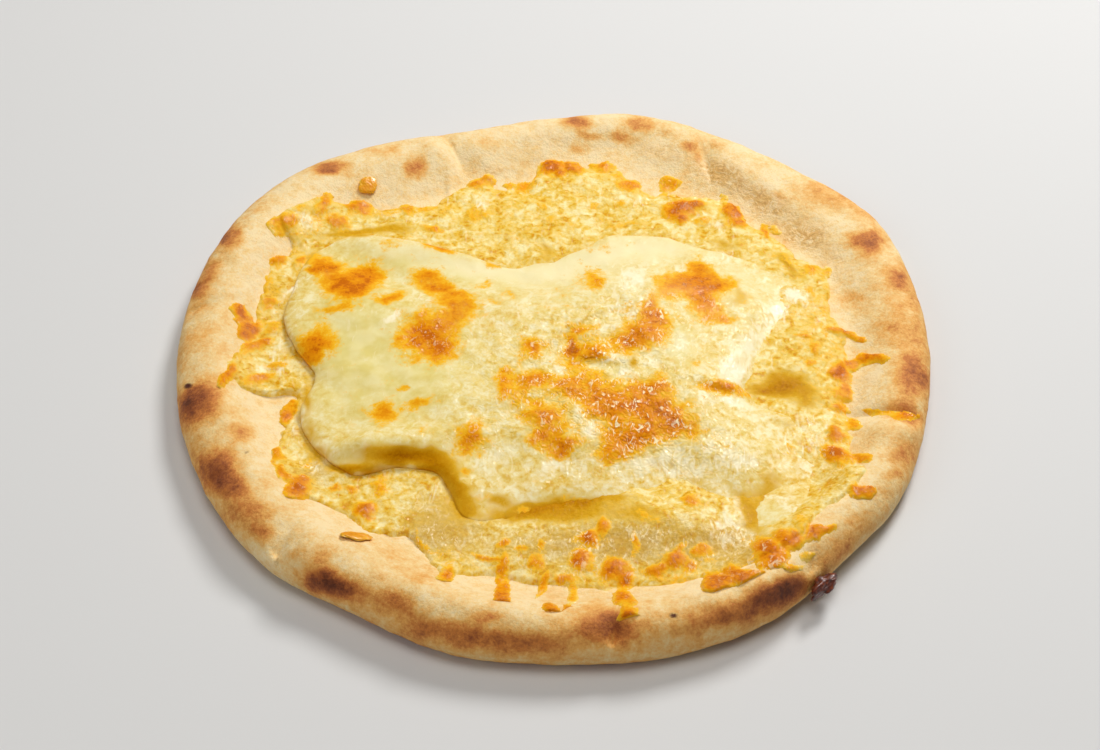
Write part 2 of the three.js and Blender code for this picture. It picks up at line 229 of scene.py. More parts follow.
CRUST_BROWN = [
    [-98, 111, 9, 6, 0.55], [-98, 108, 4, 2.5, 0.4], [-61, 111, 5, 7, 0.5], [-76, 122, 7, 4, 0.2],
    [-125, 85, 8, 6, 0.2, 40], [-136, 67, 6, 8, 0.45], [-144, 48, 5, 7, 0.35], [-147, 34, 4, 7, 0.3],
    [-143, 10, 5, 8, 0.15], [8, 142, 7, 5, 0.5], [36, 141, 6, 5, 0.4], [15, 133, 7, 3, 0.3, -20],
    [28, 132, 7, 4, 0.35, -30], [57, 125, 3.5, 4, 0.4], [62, 118, 2, 6, 0.35, 10], [10, 125, 5, 5, 0.25],
    [129, 65, 7, 8, 0.62, -30], [139, 42, 5, 7, 0.42], [118, 93, 8, 12, 0.3, 45],
    [93, 92, 6, 4, 0.25, -40], [122, 27, 6, 8, 0.25], [132, 76, 6, 10, 0.25, 40], [140, 22, 13, 30, 0.24],
    [138, -22, 12, 22, 0.24], [126, -62, 14, 18, 0.1, -25], [110, -92, 12, 12, 0.08, -40],
    [92, 70, 10, 8, 0.15, -40], [-140, -28, 10, 12, 0.65], [-143, -25, 5, 5, 0.3],
    [-121, -43, 6, 4, 0.35, -30], [-128, -64, 9, 11, 0.62], [-122, -72, 7, 6, 0.45],
    [-117, -83, 10, 9, 0.5], [-110, -95, 6, 6, 0.5], [-136, -45, 14, 34, 0.15],
    [-104, -80, 10, 14, 0.1, 30], [-82, -119, 12, 7, 0.78, -15], [-84, -121, 6, 4, 0.45, -15],
    [-60, -126, 12, 6, 0.5, -20], [-40, -140, 20, 6, 0.4, -12], [-20, -146, 20, 5, 0.4],
    [-25, -134, 7, 3, 0.35], [-62, -110, 28, 10, 0.15, -25], [-10, -138, 60, 12, 0.18],
    [15, -137, 10, 8, 0.6], [22, -143, 4, 7, 0.35], [80, -122, 12, 7, 0.9, 22], [60, -132, 12, 5, 0.4, 15],
    [50, -134, 40, 9, 0.2, 8], [132, -55, 6, 8, 0.3], [128, -66, 5, 3, 0.35], [140, -12, 6, 11, 0.35],
    [137, -35, 8, 5, 0.35], [-88, -106, 7, 5, 0.2, -30], [100, -104, 10, 8, 0.2, 40],
    [-134, -5, 6, 6, 0.15], [-30, 128, 12, 4, 0.12], [-146, 30, 6, 16, 0.15], [-140, 60, 6, 10, 0.15, 20],
    [60, 130, 20, 6, 0.15, -25], [105, 92, 12, 10, 0.12, -40], [-138, 20, 14, 50, 0.1],
    [139, 8, 7, 6, 0.15],
]
CRUST_BURNT = [
    [-145, -19, 2.2, 2.2, 0.95], [40, -133, 1.8, 1.5, 0.9], [-117, -53, 1.2, 1, 0.6],
    [-82, -119, 7, 5, 0.5, -15], [80, -124, 10, 5, 0.45, 22], [23, -146, 3, 4, 0.4],
    [-103, -109, 5, 2, 0.5, 62], [129, 64, 3, 4, 0.3, 20], [58, 122, 2, 5, 0.35, 60],
    [104, -116, 6, 5, 0.5, 40],
]
CRUST_DAMP = [
    [46, 122, 16, 7, 0.42, -20], [70, 108, 14, 8, 0.77, -35], [88, 90, 13, 9, 0.68, -50],
    [104, 70, 9, 13, 0.77, 20], [115, 52, 7, 12, 0.42], [-28, 112, 5, 3, 0.59], [120, -15, 6, 7, 0.34],
    [-6, 132, 14, 4, 0.3, -15], [112, 22, 7, 12, 0.3], [-50, 100, 14, 4, 0.21, 10],
    [10, -124, 30, 4, 0.34], [52, -124, 12, 4, 0.34, 10],
]

# How much darker and browner the wall is, evenly round the bread and most on the near side, how that fades
# out upwards and how patchy it is.
WALL_TONE = [0.28, 0.28, 0.28, 0.3, 0.3, 0.35, 0.55, 0.28]
WALL_FADE = 0.45                 # how far it has faded at the top of the wall
WALL_FADE_HEIGHT = 6
DOME_FADE_WIDTH = 22
UNDERSIDE_TONE = 0.55
WALL_PATCH_MEAN = 0.75
WALL_PATCHES = [[0.5, 14, 22]]
CRUST_CLOUDS = [[0.12, 12, 23]]
UNDERSIDE_CLOUDS = [[0.3, 16, 24]]

# Browned bubbles, drips and strings of the grated cheese; their strength is how brown they are.
BLOBS = [
    [-2, 113, 7, 5.5, 0.85, 20], [6, 112, 7, 4.5, 0.8, -10], [1, 108, 3.5, 4.5, 0.8],
    [20, 114, 6, 4, 0.6, -10], [27, 108, 2.5, 4, 0.45, 30], [31, 101, 5.5, 6, 0.65],
    [48, 103, 4.5, 6, 0.55, -40], [45, 95, 2.5, 3, 0.35], [52, 83, 8.5, 7, 0.85, 30],
    [58, 86, 6, 3.5, 0.8, 20], [53, 77, 4, 3.5, 0.75], [62, 76, 3.5, 3.5, 0.45], [75, 84, 4.5, 7, 0.85],
    [77, 76, 4.5, 4.5, 0.75], [71, 94, 2.5, 3, 0.3], [88, 71, 2.5, 7, 0.62, 15], [92, 74, 2, 3, 0.35],
    [106, 48, 4.5, 4.5, 0.5], [112, 48, 1.8, 4, 0.35], [15, 87, 2.5, 3.5, 0.35], [27, 88, 1.8, 3, 0.4],
    [-7, 86, 1.6, 3, 0.3], [-3, 78, 3.5, 4, 0.35], [-18, 82, 1.4, 3, 0.25], [17, 78, 2.5, 2, 0.25],
    [-14, 100, 4.5, 5.5, 0.6], [-20, 102, 3.5, 2, 0.45], [29, 74, 10, 1.4, 0.3, 6],
    [-30, 105, 4.5, 3.5, 0.5, 20], [-34, 102, 6, 4.5, 0.55], [-34, 80, 6, 6, 0.4],
    [-53, 72, 5, 2.5, 0.6, -25], [-64, 86, 5.5, 4.5, 0.55, -30], [-84, 87, 7, 5.5, 0.75, -20],
    [-99, 88, 3.1, 9.5, 0.55, -10], [-92, 76, 4.5, 7, 0.6, 30], [-114, 76, 8.5, 6, 0.6, 30],
    [-108, 85, 4.5, 3.5, 0.4], [-115, 53, 4.5, 4, 0.65], [-107, 52, 3.5, 4.5, 0.55],
    [-119, 40, 1.4, 7, 0.4], [-118, 27, 4, 3.5, 0.62], [-128, 22, 4, 7, 0.8, 25],
    [-124, 13, 4.5, 6, 0.88, 25], [-120, 4, 6, 4.5, 0.7, 10], [-115, 13, 3.5, 3.5, 0.5],
    [-129, -12, 3.5, 7, 0.8, -15], [-118, -17, 6, 3.5, 0.6, 10], [-112, -10, 4, 2, 0.5, 10],
    [-105, -33, 3.1, 8.5, 0.7, -8], [-107, -55, 2, 5, 0.6, 10], [-104, -65, 2, 6, 0.7, 30],
    [-98, -72, 5.5, 5.5, 0.85, -40], [-95, -61, 1.8, 6, 0.35], [-84, -74, 2, 3, 0.6],
    [-79, -76, 2.4, 2.4, 0.6], [-67, -73, 3.1, 6.5, 0.5], [-72, -85, 5.5, 4, 0.75, -35],
    [-50, -100, 1.4, 9, 0.35, 30], [-41, -114, 3.5, 3.5, 0.7], [-25, -108, 7, 1.8, 0.6, -8],
    [-14, -104, 4, 1.8, 0.5, 10], [-20, -101, 2.2, 3, 0.65], [-20, -112, 2.2, 8, 0.6],
    [-20, -123, 2, 6, 0.75], [-8, -110, 2.4, 5, 0.6], [-6, -118, 2, 7, 0.55, -15],
    [2, -117, 4, 2, 0.65, -20], [5, -122, 2, 4, 0.5], [-2, -130, 3.8, 4, 0.88], [4, -128, 2.4, 2.6, 0.65],
    [8, -110, 4.5, 4.5, 0.78], [-6, -102, 2, 3, 0.4], [17, -95, 3.5, 6, 0.75],
    [12, -100, 5.5, 3.5, 0.8, 25], [28, -103, 1.6, 5, 0.5], [21, -113, 5.5, 5.5, 0.85],
    [25, -117, 4.5, 4, 0.75, -30], [24, -124, 3.8, 3.5, 0.72], [25, -132, 3.5, 5, 0.92],
    [43, -110, 6, 4.5, 0.82, 30], [36, -114, 6, 3.1, 0.75, 20], [53, -106, 4.5, 2.4, 0.65, 10],
    [58, -117, 7, 4, 0.85, 30], [66, -113, 8.5, 3.8, 0.85, 12], [50, -82, 4, 4, 0.55],
    [47, -112, 3.5, 3.5, 0.6], [77, -104, 6.5, 6.5, 0.95, 30], [84, -98, 7, 4.5, 0.9, 30],
    [96, -92, 8.5, 3.1, 0.75, 25], [84, -110, 5, 2.4, 0.5, 10], [90, -104, 3.5, 3.5, 0.4],
    [113, -73, 6, 4, 0.85, 10], [107, -46, 4, 5.5, 0.78], [107, -57, 5, 5, 0.88],
    [115, -55, 4.5, 2.4, 0.7], [115, -39, 3.5, 3.1, 0.55], [110, -32, 4.5, 3.5, 0.6],
    [125, -32, 7, 2, 0.5, -8], [136, -35, 7, 2.4, 0.75, -8], [125, -3, 7, 3.5, 0.8, 8],
    [118, -6, 4.5, 3.5, 0.7, 20], [112, -12, 4.5, 5.5, 0.82], [112, -22, 3.5, 6.5, 0.68],
    [114, 11, 7, 3.1, 0.62, -6], [120, 8, 4, 2, 0.6, -20], [103, 0, 3.5, 3.5, 0.5], [101, -8, 3, 2.4, 0.5],
    [98, 7, 5, 1.8, 0.45], [104, 33, 2, 5, 0.35], [108, 24, 2, 5, 0.35], [95, 55, 3.5, 4.5, 0.3],
    [86, -55, 4.5, 6, 0.45], [88, -78, 2, 3.6, 0.55], [90, -90, 3.5, 4.5, 0.35], [34, -91, 8, 2, 0.3, -30],
]
BLOB_RISE = 0.4                  # height of the palest
BLOB_BROWN_RISE = 1.4            # and how much higher the brownest stand
BLOB_FULL_WIDTH = 3.5            # narrower ones are lower
BLOB_ROUNDNESS = 0.7
BLOB_TONE = 1.2
BLOB_SHARPNESS = 1.6

# Where the grated cheese is darkened by painted shade and given more painted glints, and where it has
# turned golden.
GRATED_SHADE_GLINTS = [
    [20, -102, 50, 13, 0.75], [-44, -92, 16, 16, 0.7], [-92, -66, 10, 10, 0.5], [70, -104, 20, 10, 0.5],
    [104, -60, 9, 24, 0.4],
]
GRATED_GOLD = [
    [-100, 80, 14, 14, 0.6], [-108, 60, 10, 16, 0.5], [-118, 30, 9, 20, 0.55], [-122, 5, 9, 16, 0.6],
    [-60, 84, 34, 9, 0.5], [-20, 92, 22, 16, 0.4], [0, 110, 16, 7, 0.6], [28, 100, 24, 10, 0.35, -15],
    [60, 84, 16, 10, 0.45, -30], [84, 66, 9, 18, 0.45, 20], [112, 5, 10, 14, 0.5], [108, -26, 8, 16, 0.5],
    [110, -50, 9, 14, 0.45], [10, -116, 34, 5, 0.45], [-98, -60, 8, 14, 0.35, 20], [-40, -108, 9, 8, 0.45],
    [90, -98, 14, 9, 0.5, 20], [98, 48, 8, 9, 0.55], [10, 74, 30, 5, 0.4, 6], [112, 42, 8, 8, 0.4],
    [88, -66, 8, 14, 0.4], [100, 16, 12, 20, 0.5], [104, -12, 9, 20, 0.45], [55, -112, 20, 6, 0.45, 10],
    [-15, 68, 20, 8, 0.3], [104, 25, 7, 10, 0.35],
]
GOLD_TONE = 0.38
# The layer's golden rim: how far in it is, its width, and how strong it is and varies.
RIM_INSET = 1.5
RIM_GOLD_WIDTH = 3.0
RIM_GOLD_MEAN = 0.1
RIM_GOLD = [[0.2, 9, 40]]
# The slab's shade on the layer round it.
LIP_SHADE = 0.6
LIP_SHADE_WIDTH = 4

# Browned spots of the slab, then the darkest places in them.
SLAB_BROWN = [
    [-95, 48, 10, 6, 0.9, -40], [-88, 38, 8.5, 7.5, 0.9], [-78, 44, 7.5, 8.5, 0.9, 10],
    [-83, 37, 7.5, 6, 0.8], [-102, 47, 5, 2, 0.7], [-87, 25, 7.5, 3.2, 0.6, 12], [-95, 24, 5, 2, 0.3],
    [-67, 31, 6, 3.2, 0.7, 40], [-72, 29, 5, 2, 0.35], [-54, 43, 7.5, 6, 0.85, -20],
    [-48, 36, 8.5, 4, 0.8, -30], [-40, 27, 8.5, 7.5, 0.82, -50], [-53, 10, 11, 12, 1],
    [-48, 1, 8.5, 7.5, 0.9], [-42, 18, 7.5, 6, 0.7, 40], [-96, 5, 7.5, 10, 0.92, -15],
    [-99, -3, 6, 5, 0.8, 20], [-105, -3, 3.7, 2, 0.5], [-69, 63, 4.5, 4.5, 0.42],
    [-48, 61, 8.5, 3.4, 0.85, -18], [-24, 53, 5.5, 4, 0.75, 10], [-17, 52, 6, 2.4, 0.65],
    [-30, 38, 3.7, 2.4, 0.35], [-19, 32, 3.2, 3.2, 0.5], [-25, 28, 6, 1.7, 0.35],
    [2, 34, 10, 3.7, 0.22, 10], [2, 25, 12, 2.4, 0.25], [15, 62, 6, 3.7, 0.4, 10], [15, 41, 5.5, 7, 0.62],
    [49, 38, 7.5, 5.5, 0.75], [57, 40, 11, 6, 0.9], [59, 47, 4.5, 8.5, 0.85, 10], [66, 38, 8.5, 4.5, 0.75],
    [58, 31, 7.5, 8.5, 0.85], [60, 25, 6, 6, 0.7], [44, 35, 5, 6, 0.5], [76, 30, 3.7, 2.4, 0.35],
    [70, 18, 5, 2.4, 0.5], [27, 24, 5, 3.7, 0.35], [38, 24, 3.7, 10, 0.6, -15], [40, 18, 6, 6, 0.8, 30],
    [63, -20, 7.5, 5, 0.6, -10], [68, -22, 4.5, 2.6, 0.35, -12], [77, -24, 6, 2.6, 0.5, -8],
    [-67, -33, 5, 6.5, 0.85], [-54, -28, 6, 3.7, 0.62, 10], [-60, -21, 3.7, 2, 0.4],
    [-52, -43, 3.7, 2.9, 0.35], [-33, -47, 6.5, 10, 0.85, -10], [-36, -64, 2.9, 2.4, 0.5],
    [-27, -77, 3.7, 3.2, 0.4], [-13, -84, 3.7, 3.2, 0.6], [40, -64, 5, 3.7, 0.2], [62, -50, 5, 5, 0.25],
    [5, -79, 8.5, 2.2, 0.3, -3], [-10, 2, 6.5, 5.8, 0.8, 14], [-21, -18, 4.2, 9.6, 0.8],
    [-10, -16, 7.4, 5.9, 0.9], [4, -20, 8.6, 5.8, 0.85, -14], [6, 1, 2.6, 11.1, 0.95],
    [14, 0, 9.1, 5.8, 0.85, 17], [9, 12, 6.7, 5, 0.55, 27], [34, 10, 10.8, 9.4, 0.9, 20],
    [28, 5, 5.3, 5.1, 0.8], [37, 25, 4.2, 5.9, 0.6], [19, -26, 12, 9.4, 0.72, -20],
    [13, -19, 5.3, 4.4, 0.5], [38, -31, 14.8, 8.7, 0.95, -47], [32, -27, 8.4, 8.8, 0.85],
    [40, -18, 4.2, 6.6, 0.75], [44, -38, 5.3, 7.4, 0.8], [28, -48, 9.1, 6.6, 0.75, 14],
    [21, -56, 7.4, 5.1, 0.72], [34, -43, 5.3, 5.1, 0.7], [-6, -34, 9.1, 6.6, 0.88, -11],
    [2, -48, 7.9, 6.6, 0.78], [0, -55, 5.3, 4.4, 0.7], [-8, -49, 4.2, 5.1, 0.5], [54, -7, 3.7, 2.9, 0.45],
    [64, -19, 6.5, 3.7, 0.65, -14], [61, 18, 7.7, 3.6, 0.55, 20], [52, -41, 6.3, 5.9, 0.5],
    [-15, -5, 2.6, 2.9, 0.3], [52, -27, 3.2, 3.7, 0.35], [20, -32, 10.7, 8.9, 0.78, -39],
    [26, -46, 9.6, 7.3, 0.75], [38, -43, 6, 6.1, 0.7], [1, -5, 3.2, 4.5, 0.4], [-15, -24, 3.6, 5, 0.5],
    [-4, -43, 4.8, 5, 0.6], [11, -12, 5.9, 4.3, 0.5, -27],
]
SLAB_DARK = [
    [-52, 8, 5, 6, 0.35], [-102, 49, 2, 1.6, 0.8], [-24, -20, 4, 5, 0.35], [6, 1, 1.6, 7.3, 0.9],
    [12, -3, 5.7, 2.2, 0.7, 17], [35, 7, 5.7, 2.8, 0.4, 14], [39, -33, 10.3, 3, 0.75, -47],
    [40, -19, 2.4, 3.3, 0.5], [24, -33, 5.1, 1.6, 0.55, -27], [-10, -17, 3.2, 1.7, 0.5],
    [4, -21, 3.6, 1.7, 0.5], [-5, -36, 3.6, 1.7, 0.45], [44, -40, 2.4, 3.3, 0.5],
]
# Cheese of both layers: olive where it is deep and shaded, partly its own colour and partly painted shade;
# white painted highlight where its oil shines.
OLIVE = [
    [-58, -56, 17, 5, 1, -4], [-48, -60, 8, 5, 0.8, -30], [-78, -63, 9, 3.5, 0.85, 5],
    [-92, -56, 5, 5, 0.5, -40], [-41, -68, 4, 9, 0.75, 25], [-36, -82, 5, 8, 0.55],
    [-8, -85, 14, 3.5, 0.85, 4], [-45, -86, 14, 12, 0.25], [96, 50, 3, 9, 0.75, 20],
    [70, 62, 6, 4, 0.5, -20], [-5, 58, 3, 7, 0.45, 10], [-86, 69, 14, 2.6, 0.7, 10], [-68, 72, 9, 4, 0.5],
    [-104, 54, 3, 7, 0.5, -35], [-98, -26, 2.4, 10, 0.5, 5], [74, 32, 4, 8, 0.4],
    [-96, -44, 4, 6, 0.4, 20], [17, -13, 5.6, 2.8, 0.5], [30, -6, 2.8, 5, 0.6],
    [90, -19, 8.1, 4.4, 1, -11], [82, -23, 6, 3.4, 0.95], [97, -26, 5, 7.5, 0.7, 33],
    [93, -16, 8, 6, 0.35], [31, -89, 8.9, 4.4, 0.5, -14], [51, -70, 6, 2.8, 0.35],
    [70, -83, 4.5, 11, 0.55, 17], [73, -91, 5.6, 6.6, 0.5], [78, -79, 5.6, 7.8, 0.5],
    [80, -69, 4, 6.7, 0.4], [102, 3, 2, 5.6, 0.4], [90, -40, 3.2, 6.7, 0.3], [-22, -79, 4.8, 2.8, 0.5],
    [-7, -82, 8, 2.2, 0.6], [8, -81, 18.4, 3.3, 0.95, 4], [1, -87, 24, 4.5, 0.6],
    [87, -22, 5.7, 3.3, 0.8, -14], [-55, -57, 10.4, 2.2, 0.5, -7], [-45, -62, 3.8, 5, 0.6, -49],
    [-36, -74, 2.6, 7.5, 0.6, 33], [-33, -85, 3.2, 3.9, 0.4], [-79, -64, 8.1, 2.2, 0.5, 14],
]
# Painted highlights: white sheen where the oil shines.
SHEEN = [
    [96, 31, 6, 5, 1, -45], [66, 54, 7, 5, 0.5], [52, 47, 7, 5, 0.7, 30], [30, 42, 9, 6, 0.8, 50],
    [38, 28, 5, 10, 0.8, -40], [27, 22, 8, 9, 0.5], [-25, -58, 10, 9, 0.45], [-66, 19, 2, 6, 0.9, -40],
    [-52, 28, 6, 3, 0.5, -30], [-108, 36, 1.2, 8, 0.9, -30], [-72, -54, 4, 2.5, 0.6],
    [-90, -53, 3, 3, 0.5], [62, -94, 7, 9, 0.5], [68, -90, 2, 13, 0.8, 15], [102, -48, 7, 10, 0.3],
    [92, -50, 8, 14, 0.4], [104, 18, 6, 10, 0.3], [-46, -82, 6, 12, 0.3], [-58, 92, 20, 4, 0.3],
    [30, 92, 26, 6, 0.2, -10], [64, 76, 8, 3, 0.4, -35], [-108, 76, 8, 5, 0.4], [-44, 14, 7, 12, 0.3],
    [-26, 16, 10, 16, 0.25], [21, -2, 4.9, 2.7, 1, 20], [2, -11, 3.6, 2.2, 0.9],
    [-15, -23, 4.9, 2.2, 0.8, -14], [7, -28, 1.6, 7.8, 1], [26, -12, 4.8, 2.2, 0.8], [-7, 1, 2, 2.2, 0.8],
    [40, 17, 4.1, 2.8, 0.7, 14], [17, 12, 5.9, 2.2, 0.7, 27], [-4, -40, 4.8, 1.7, 0.7],
    [1, -61, 13.6, 3.9, 0.55], [31, -59, 12, 4.5, 0.5], [70, -12, 6, 8.5, 0.85, -33],
    [89, 22, 3.6, 5.6, 0.9], [56, -23, 3.2, 4.5, 0.6], [50, -64, 12, 5.6, 0.6], [49, 3, 4, 5.6, 0.5],
    [41, -56, 4.8, 4.5, 0.6], [13, -43, 2.4, 5.6, 0.6], [37, -6, 3.2, 2.8, 0.6],
    [81, 10, 5, 11.9, 0.6, -27], [74, 0, 6, 9.6, 0.45, -33], [66, -12, 4.3, 6.4, 0.5, -33],
    [69, -28, 8.2, 2.2, 0.8, -20], [61, -51, 8.1, 6.1, 0.6, -14], [70, -60, 6.4, 6.7, 0.6],
    [55, -40, 5.6, 5.6, 0.4], [-91, -62, 5.6, 5.6, 0.5], [-101, -43, 3.2, 7.8, 0.5],
    [-112, -11, 6.5, 3.3, 0.5, 14], [-110, 3, 3.2, 7.8, 0.4], [-116, 18, 3.2, 5.6, 0.4],
    [-104, 78, 5.7, 4.4, 0.5, -14], [-73, 81, 8, 2.8, 0.35, 7], [-54, 77, 8, 3.3, 0.35],
    [-33, 88, 5.6, 4.5, 0.3], [-82, 88, 3.2, 3.3, 0.4],
]
SLAB_GRAINY = [
    [42, -76, 22, 9, 0.8], [56, -86, 14, 12, 1], [98, 0, 12, 14, 0.9], [100, -50, 8, 20, 0.7],
    [100, -72, 10, 12, 0.6], [66, 58, 20, 6, 0.5, -20], [-90, -52, 8, 12, 0.3],
]
SLAB_SMOOTH = [
    [-82, 0, 26, 44, 1], [-55, -10, 20, 26, 0.8], [-60, 52, 40, 10, 0.8, -15], [-22, 46, 28, 8, 0.95, -8],
    [10, 52, 24, 10, 0.9, 10], [40, 62, 24, 8, 0.9], [48, 4, 6, 9, 1], [92, 0, 6, 16, 0.9],
    [92, -24, 10, 10, 0.9], [80, -88, 10, 10, 0.8], [-60, -58, 30, 8, 0.8], [8, -80, 26, 5, 0.8],
    [20, -12, 10, 3, 0.8],
]
# Milky paler cheese, and painted highlight where the slab's top catches the light.
SLAB_MILKY_AND_SHEEN = [
    [-62, 60, 20, 6, 0.7, -5], [-32, 48, 26, 7, 0.95, -12], [0, 46, 20, 8, 0.95, 8],
    [20, 56, 20, 9, 0.95, 14], [40, 60, 24, 9, 0.95], [74, 44, 16, 12, 0.8, -30],
    [97, 30, 10, 12, 0.9, 20], [76, 0, 8, 26, 0.65, -12], [30, 40, 16, 10, 0.6, 20], [48, 4, 7, 9, 0.6],
    [-10, 30, 22, 10, 0.4, 10],
]
SLAB_WRINKLED = [
    [10, -12, 38, 34, 1], [30, -36, 30, 26, 1], [40, 20, 30, 22, 0.8], [64, -22, 16, 8, 1, -12],
    [60, -50, 26, 20, 0.6], [-30, -40, 16, 16, 0.4], [-52, 10, 12, 14, 0.5],
]

# Grain of the slab's melted edge and of its lip: strength, where it starts to fade and how widely.
MELTED_GRAIN = (0.9, 4, 18)
LIP_GRAIN = (0.8, 0.5, 4)
MILKY_AND_SHEEN_SMOOTHING = 0.7            # how far milky cheese hides the speckle

# Scales of colour: place on the scale, then red, green and blue as screen values.
CRUST_COLOURS = [(0, 244, 219, 168), (0.16, 240, 204, 138), (0.36, 232, 172, 88),
                 (0.56, 204, 126, 56), (0.78, 150, 80, 38), (1, 98, 48, 24)]
SOAKED_COLOURS = [(0.36, 204, 154, 82), (0.47, 228, 182, 106), (0.6, 242, 212, 158)]
TOASTED_COLOURS = [(0.3, 242, 184, 36), (0.6, 234, 154, 6), (0.85, 222, 130, 0), (1, 198, 102, 0)]
OLIVE_COLOURS = [(0, 236, 204, 104), (0.45, 214, 162, 30), (0.8, 194, 132, 0), (1, 164, 94, 0)]
GRATED_COLOURS = [(0.38, 218, 152, 8), (0.44, 230, 184, 58), (0.51, 236, 203, 108), (0.6, 244, 226, 162)]
SLAB_COLOURS = [(0.38, 222, 172, 50), (0.45, 232, 200, 108), (0.52, 238, 213, 146), (0.62, 247, 235, 192)]
BURNT_COLOURS = [(0.3, 48, 16, 8), (0.55, 100, 36, 12), (0.75, 160, 78, 24)]


def ease(t):
    """From 0 to 1 along half a cosine wave."""
    return 0.5 - 0.5 * np.cos(math.pi * np.clip(t, 0, 1))


def dome(t):
    """From 0 to 1 along a quarter of a circle, steep at first."""
    return np.sqrt(1 - (1 - np.clip(t, 0, 1)) ** 2)


def blend(a, b, t):
    return a + (b - a) * t


def either(a, b):
    """Two masks in one, where either of them marks a point."""
    return 1 - (1 - a) * (1 - b)


def around(stations, angle):
    """Value between the stations round the bread, on a closed smooth curve."""
    values = np.array(stations, float)
    place = np.mod(angle / (2 * math.pi), 1) * len(values)
    i = np.floor(place).astype(int)
    t = place - i
    a, b, c, d = (values[(i + k) % len(values)] for k in (-1, 0, 1, 2))
    bend = 2 * a - 5 * b + 4 * c - d + t * (3 * (b - c) + d - a)
    return b + 0.5 * t * (c - a + t * bend)


def reach(edge, angle):
    """How far a closed outline reaches from the origin at each angle."""
    corners = np.array(edge, float)
    steps = np.arange(0, 2 * math.pi, 2 * math.pi / (24 * len(corners)))
    x, y = (around(corners[:, k], steps) for k in (0, 1))
    turns = np.arctan2(y, x)
    order = np.argsort(turns)
    return np.interp(angle, turns[order], np.hypot(x, y)[order], period=2 * math.pi)


def sectors():
    return np.arange(SECTORS) * 2 * math.pi / SECTORS


def patch(x, y, cx, cy, length, width, strength, degrees=0):
    """Squared distance of points from a patch's middle, 1 at its edge, and the patch's strength."""
    turn = math.radians(degrees)
    along = (x - cx) * math.cos(turn) + (y - cy) * math.sin(turn)
    across = (y - cy) * math.cos(turn) - (x - cx) * math.sin(turn)
    return (along / length) ** 2 + (across / width) ** 2, strength


def relief(mounds, x, y):
    """Sum of soft mounds."""
    height = np.zeros(np.shape(x))
    for mound in mounds:
        far, rise = patch(x, y, *mound)
        height += rise * np.exp(-far)
    return height


def marks(rows, x, y, sharp=1):
    """How strongly soft patches mark each point, from 0 to 1."""
    left = np.ones(np.shape(x))
    for row in rows:
        far, strength = patch(x, y, *row)
        left *= 1 - strength * np.exp(-far**sharp)
    return 1 - left


def lattice(cell, seed):
    """Even random number from 0 to 1 at each whole-number point."""
    x, y, z = (cell[..., k].astype(np.uint32) for k in range(3))
    h = x * np.uint32(374761393) + y * np.uint32(668265263) + z * np.uint32(2246822519)
    h = h + np.uint32(seed * 3266489917 % 2**32)
    h = (h ^ (h >> np.uint32(15))) * np.uint32(2246822519)
    h = (h ^ (h >> np.uint32(13))) * np.uint32(3266489917)
    return (h ^ (h >> np.uint32(16))) / (2**32 - 1)


def noise(points, size, seed):
    """Smooth noise from -1 to 1 with lumps of a given size."""
    place = points / size
    cell = np.floor(place).astype(np.int64)
    t = place - cell
    t = t * t * (3 - 2 * t)
    total = np.zeros(points.shape[:-1])
    for corner in itertools.product((0, 1), repeat=3):
        share = np.prod(np.where(corner, t, 1 - t), axis=-1)
        total += share * lattice(cell + np.array(corner), seed)
    return 2 * total - 1


def uneven(points, layers):
    """Sum of layers of noise."""
    return sum(height * noise(points, size, seed) for height, size, seed in layers)


def on_plan(x, y):
    return np.stack([x, y, np.zeros(np.shape(x))], axis=-1)


def compass(angle):
    """Unit steps outwards at each angle."""
    return np.stack([np.cos(angle), np.sin(angle)], axis=-1)


def grains(x, y, size, seed):
    """Rounded grains, 1 in the middle of each and 0 between them."""
    plan = on_plan(x, y) / size
    cell = np.floor(plan).astype(np.int64)
    nearest = np.full(np.shape(x), 9.0)
    for i, j in itertools.product((-1, 0, 1), repeat=2):
        there = cell + np.array([i, j, 0])
        dx = there[..., 0] + lattice(there, seed) - plan[..., 0]
        dy = there[..., 1] + lattice(there, seed + 1) - plan[..., 1]
        nearest = np.minimum(nearest, np.hypot(dx, dy))
    return 1 - np.clip(nearest / 0.7, 0, 1) ** 2


def as_seen(x, y, z):
    """Where the photograph's line of sight through each point meets the level of the marks."""
    return x - MARK_SHIFT, y + (z - MARK_LEVEL) / math.tan(math.radians(VIEW_ELEVATION))


def warped(x, y, size, amount, seed):
    """The plan pushed about by noise."""
    plan = on_plan(x, y)
    return x + amount * noise(plan, size, seed), y + amount * noise(plan, size, seed + 1)


def plain_rim(angle, inset):
    """Height of the plain rim at a distance inside the outline."""
    crest = around(CREST_HEIGHT, angle)
    crest_inset = around(CREST_INSET, angle)
    width = around(RIM_WIDTH, angle)
    outer = blend(crest * WIDEST_SHARE, crest, dome(inset / crest_inset))
    inner = blend(FLOOR, crest, ease((width - inset) / (width - crest_inset)))
    return np.where(inset < crest_inset, outer, inner)


def dough_height(x, y):
    angle = np.arctan2(y, x)
    inset = around(OUTLINE_RADIUS, angle) - np.hypot(x, y)
    folds = relief(DOUGH_RELIEF, x, y) + relief(DOUGH_CREASES, x, y)
    lumps = uneven(on_plan(x, y), DOUGH_LUMPS)
    return plain_rim(angle, inset) + ease(inset / RELIEF_FADE) * (folds + lumps)


def normals_of(points):
    """Unit normals of a grid of points whose rows are rings."""
    along = np.roll(points, -1, axis=1) - np.roll(points, 1, axis=1)
    across = np.gradient(points, axis=0)
    normal = np.cross(along, across)
    return normal / np.maximum(np.linalg.norm(normal, axis=-1, keepdims=True), 1e-9)


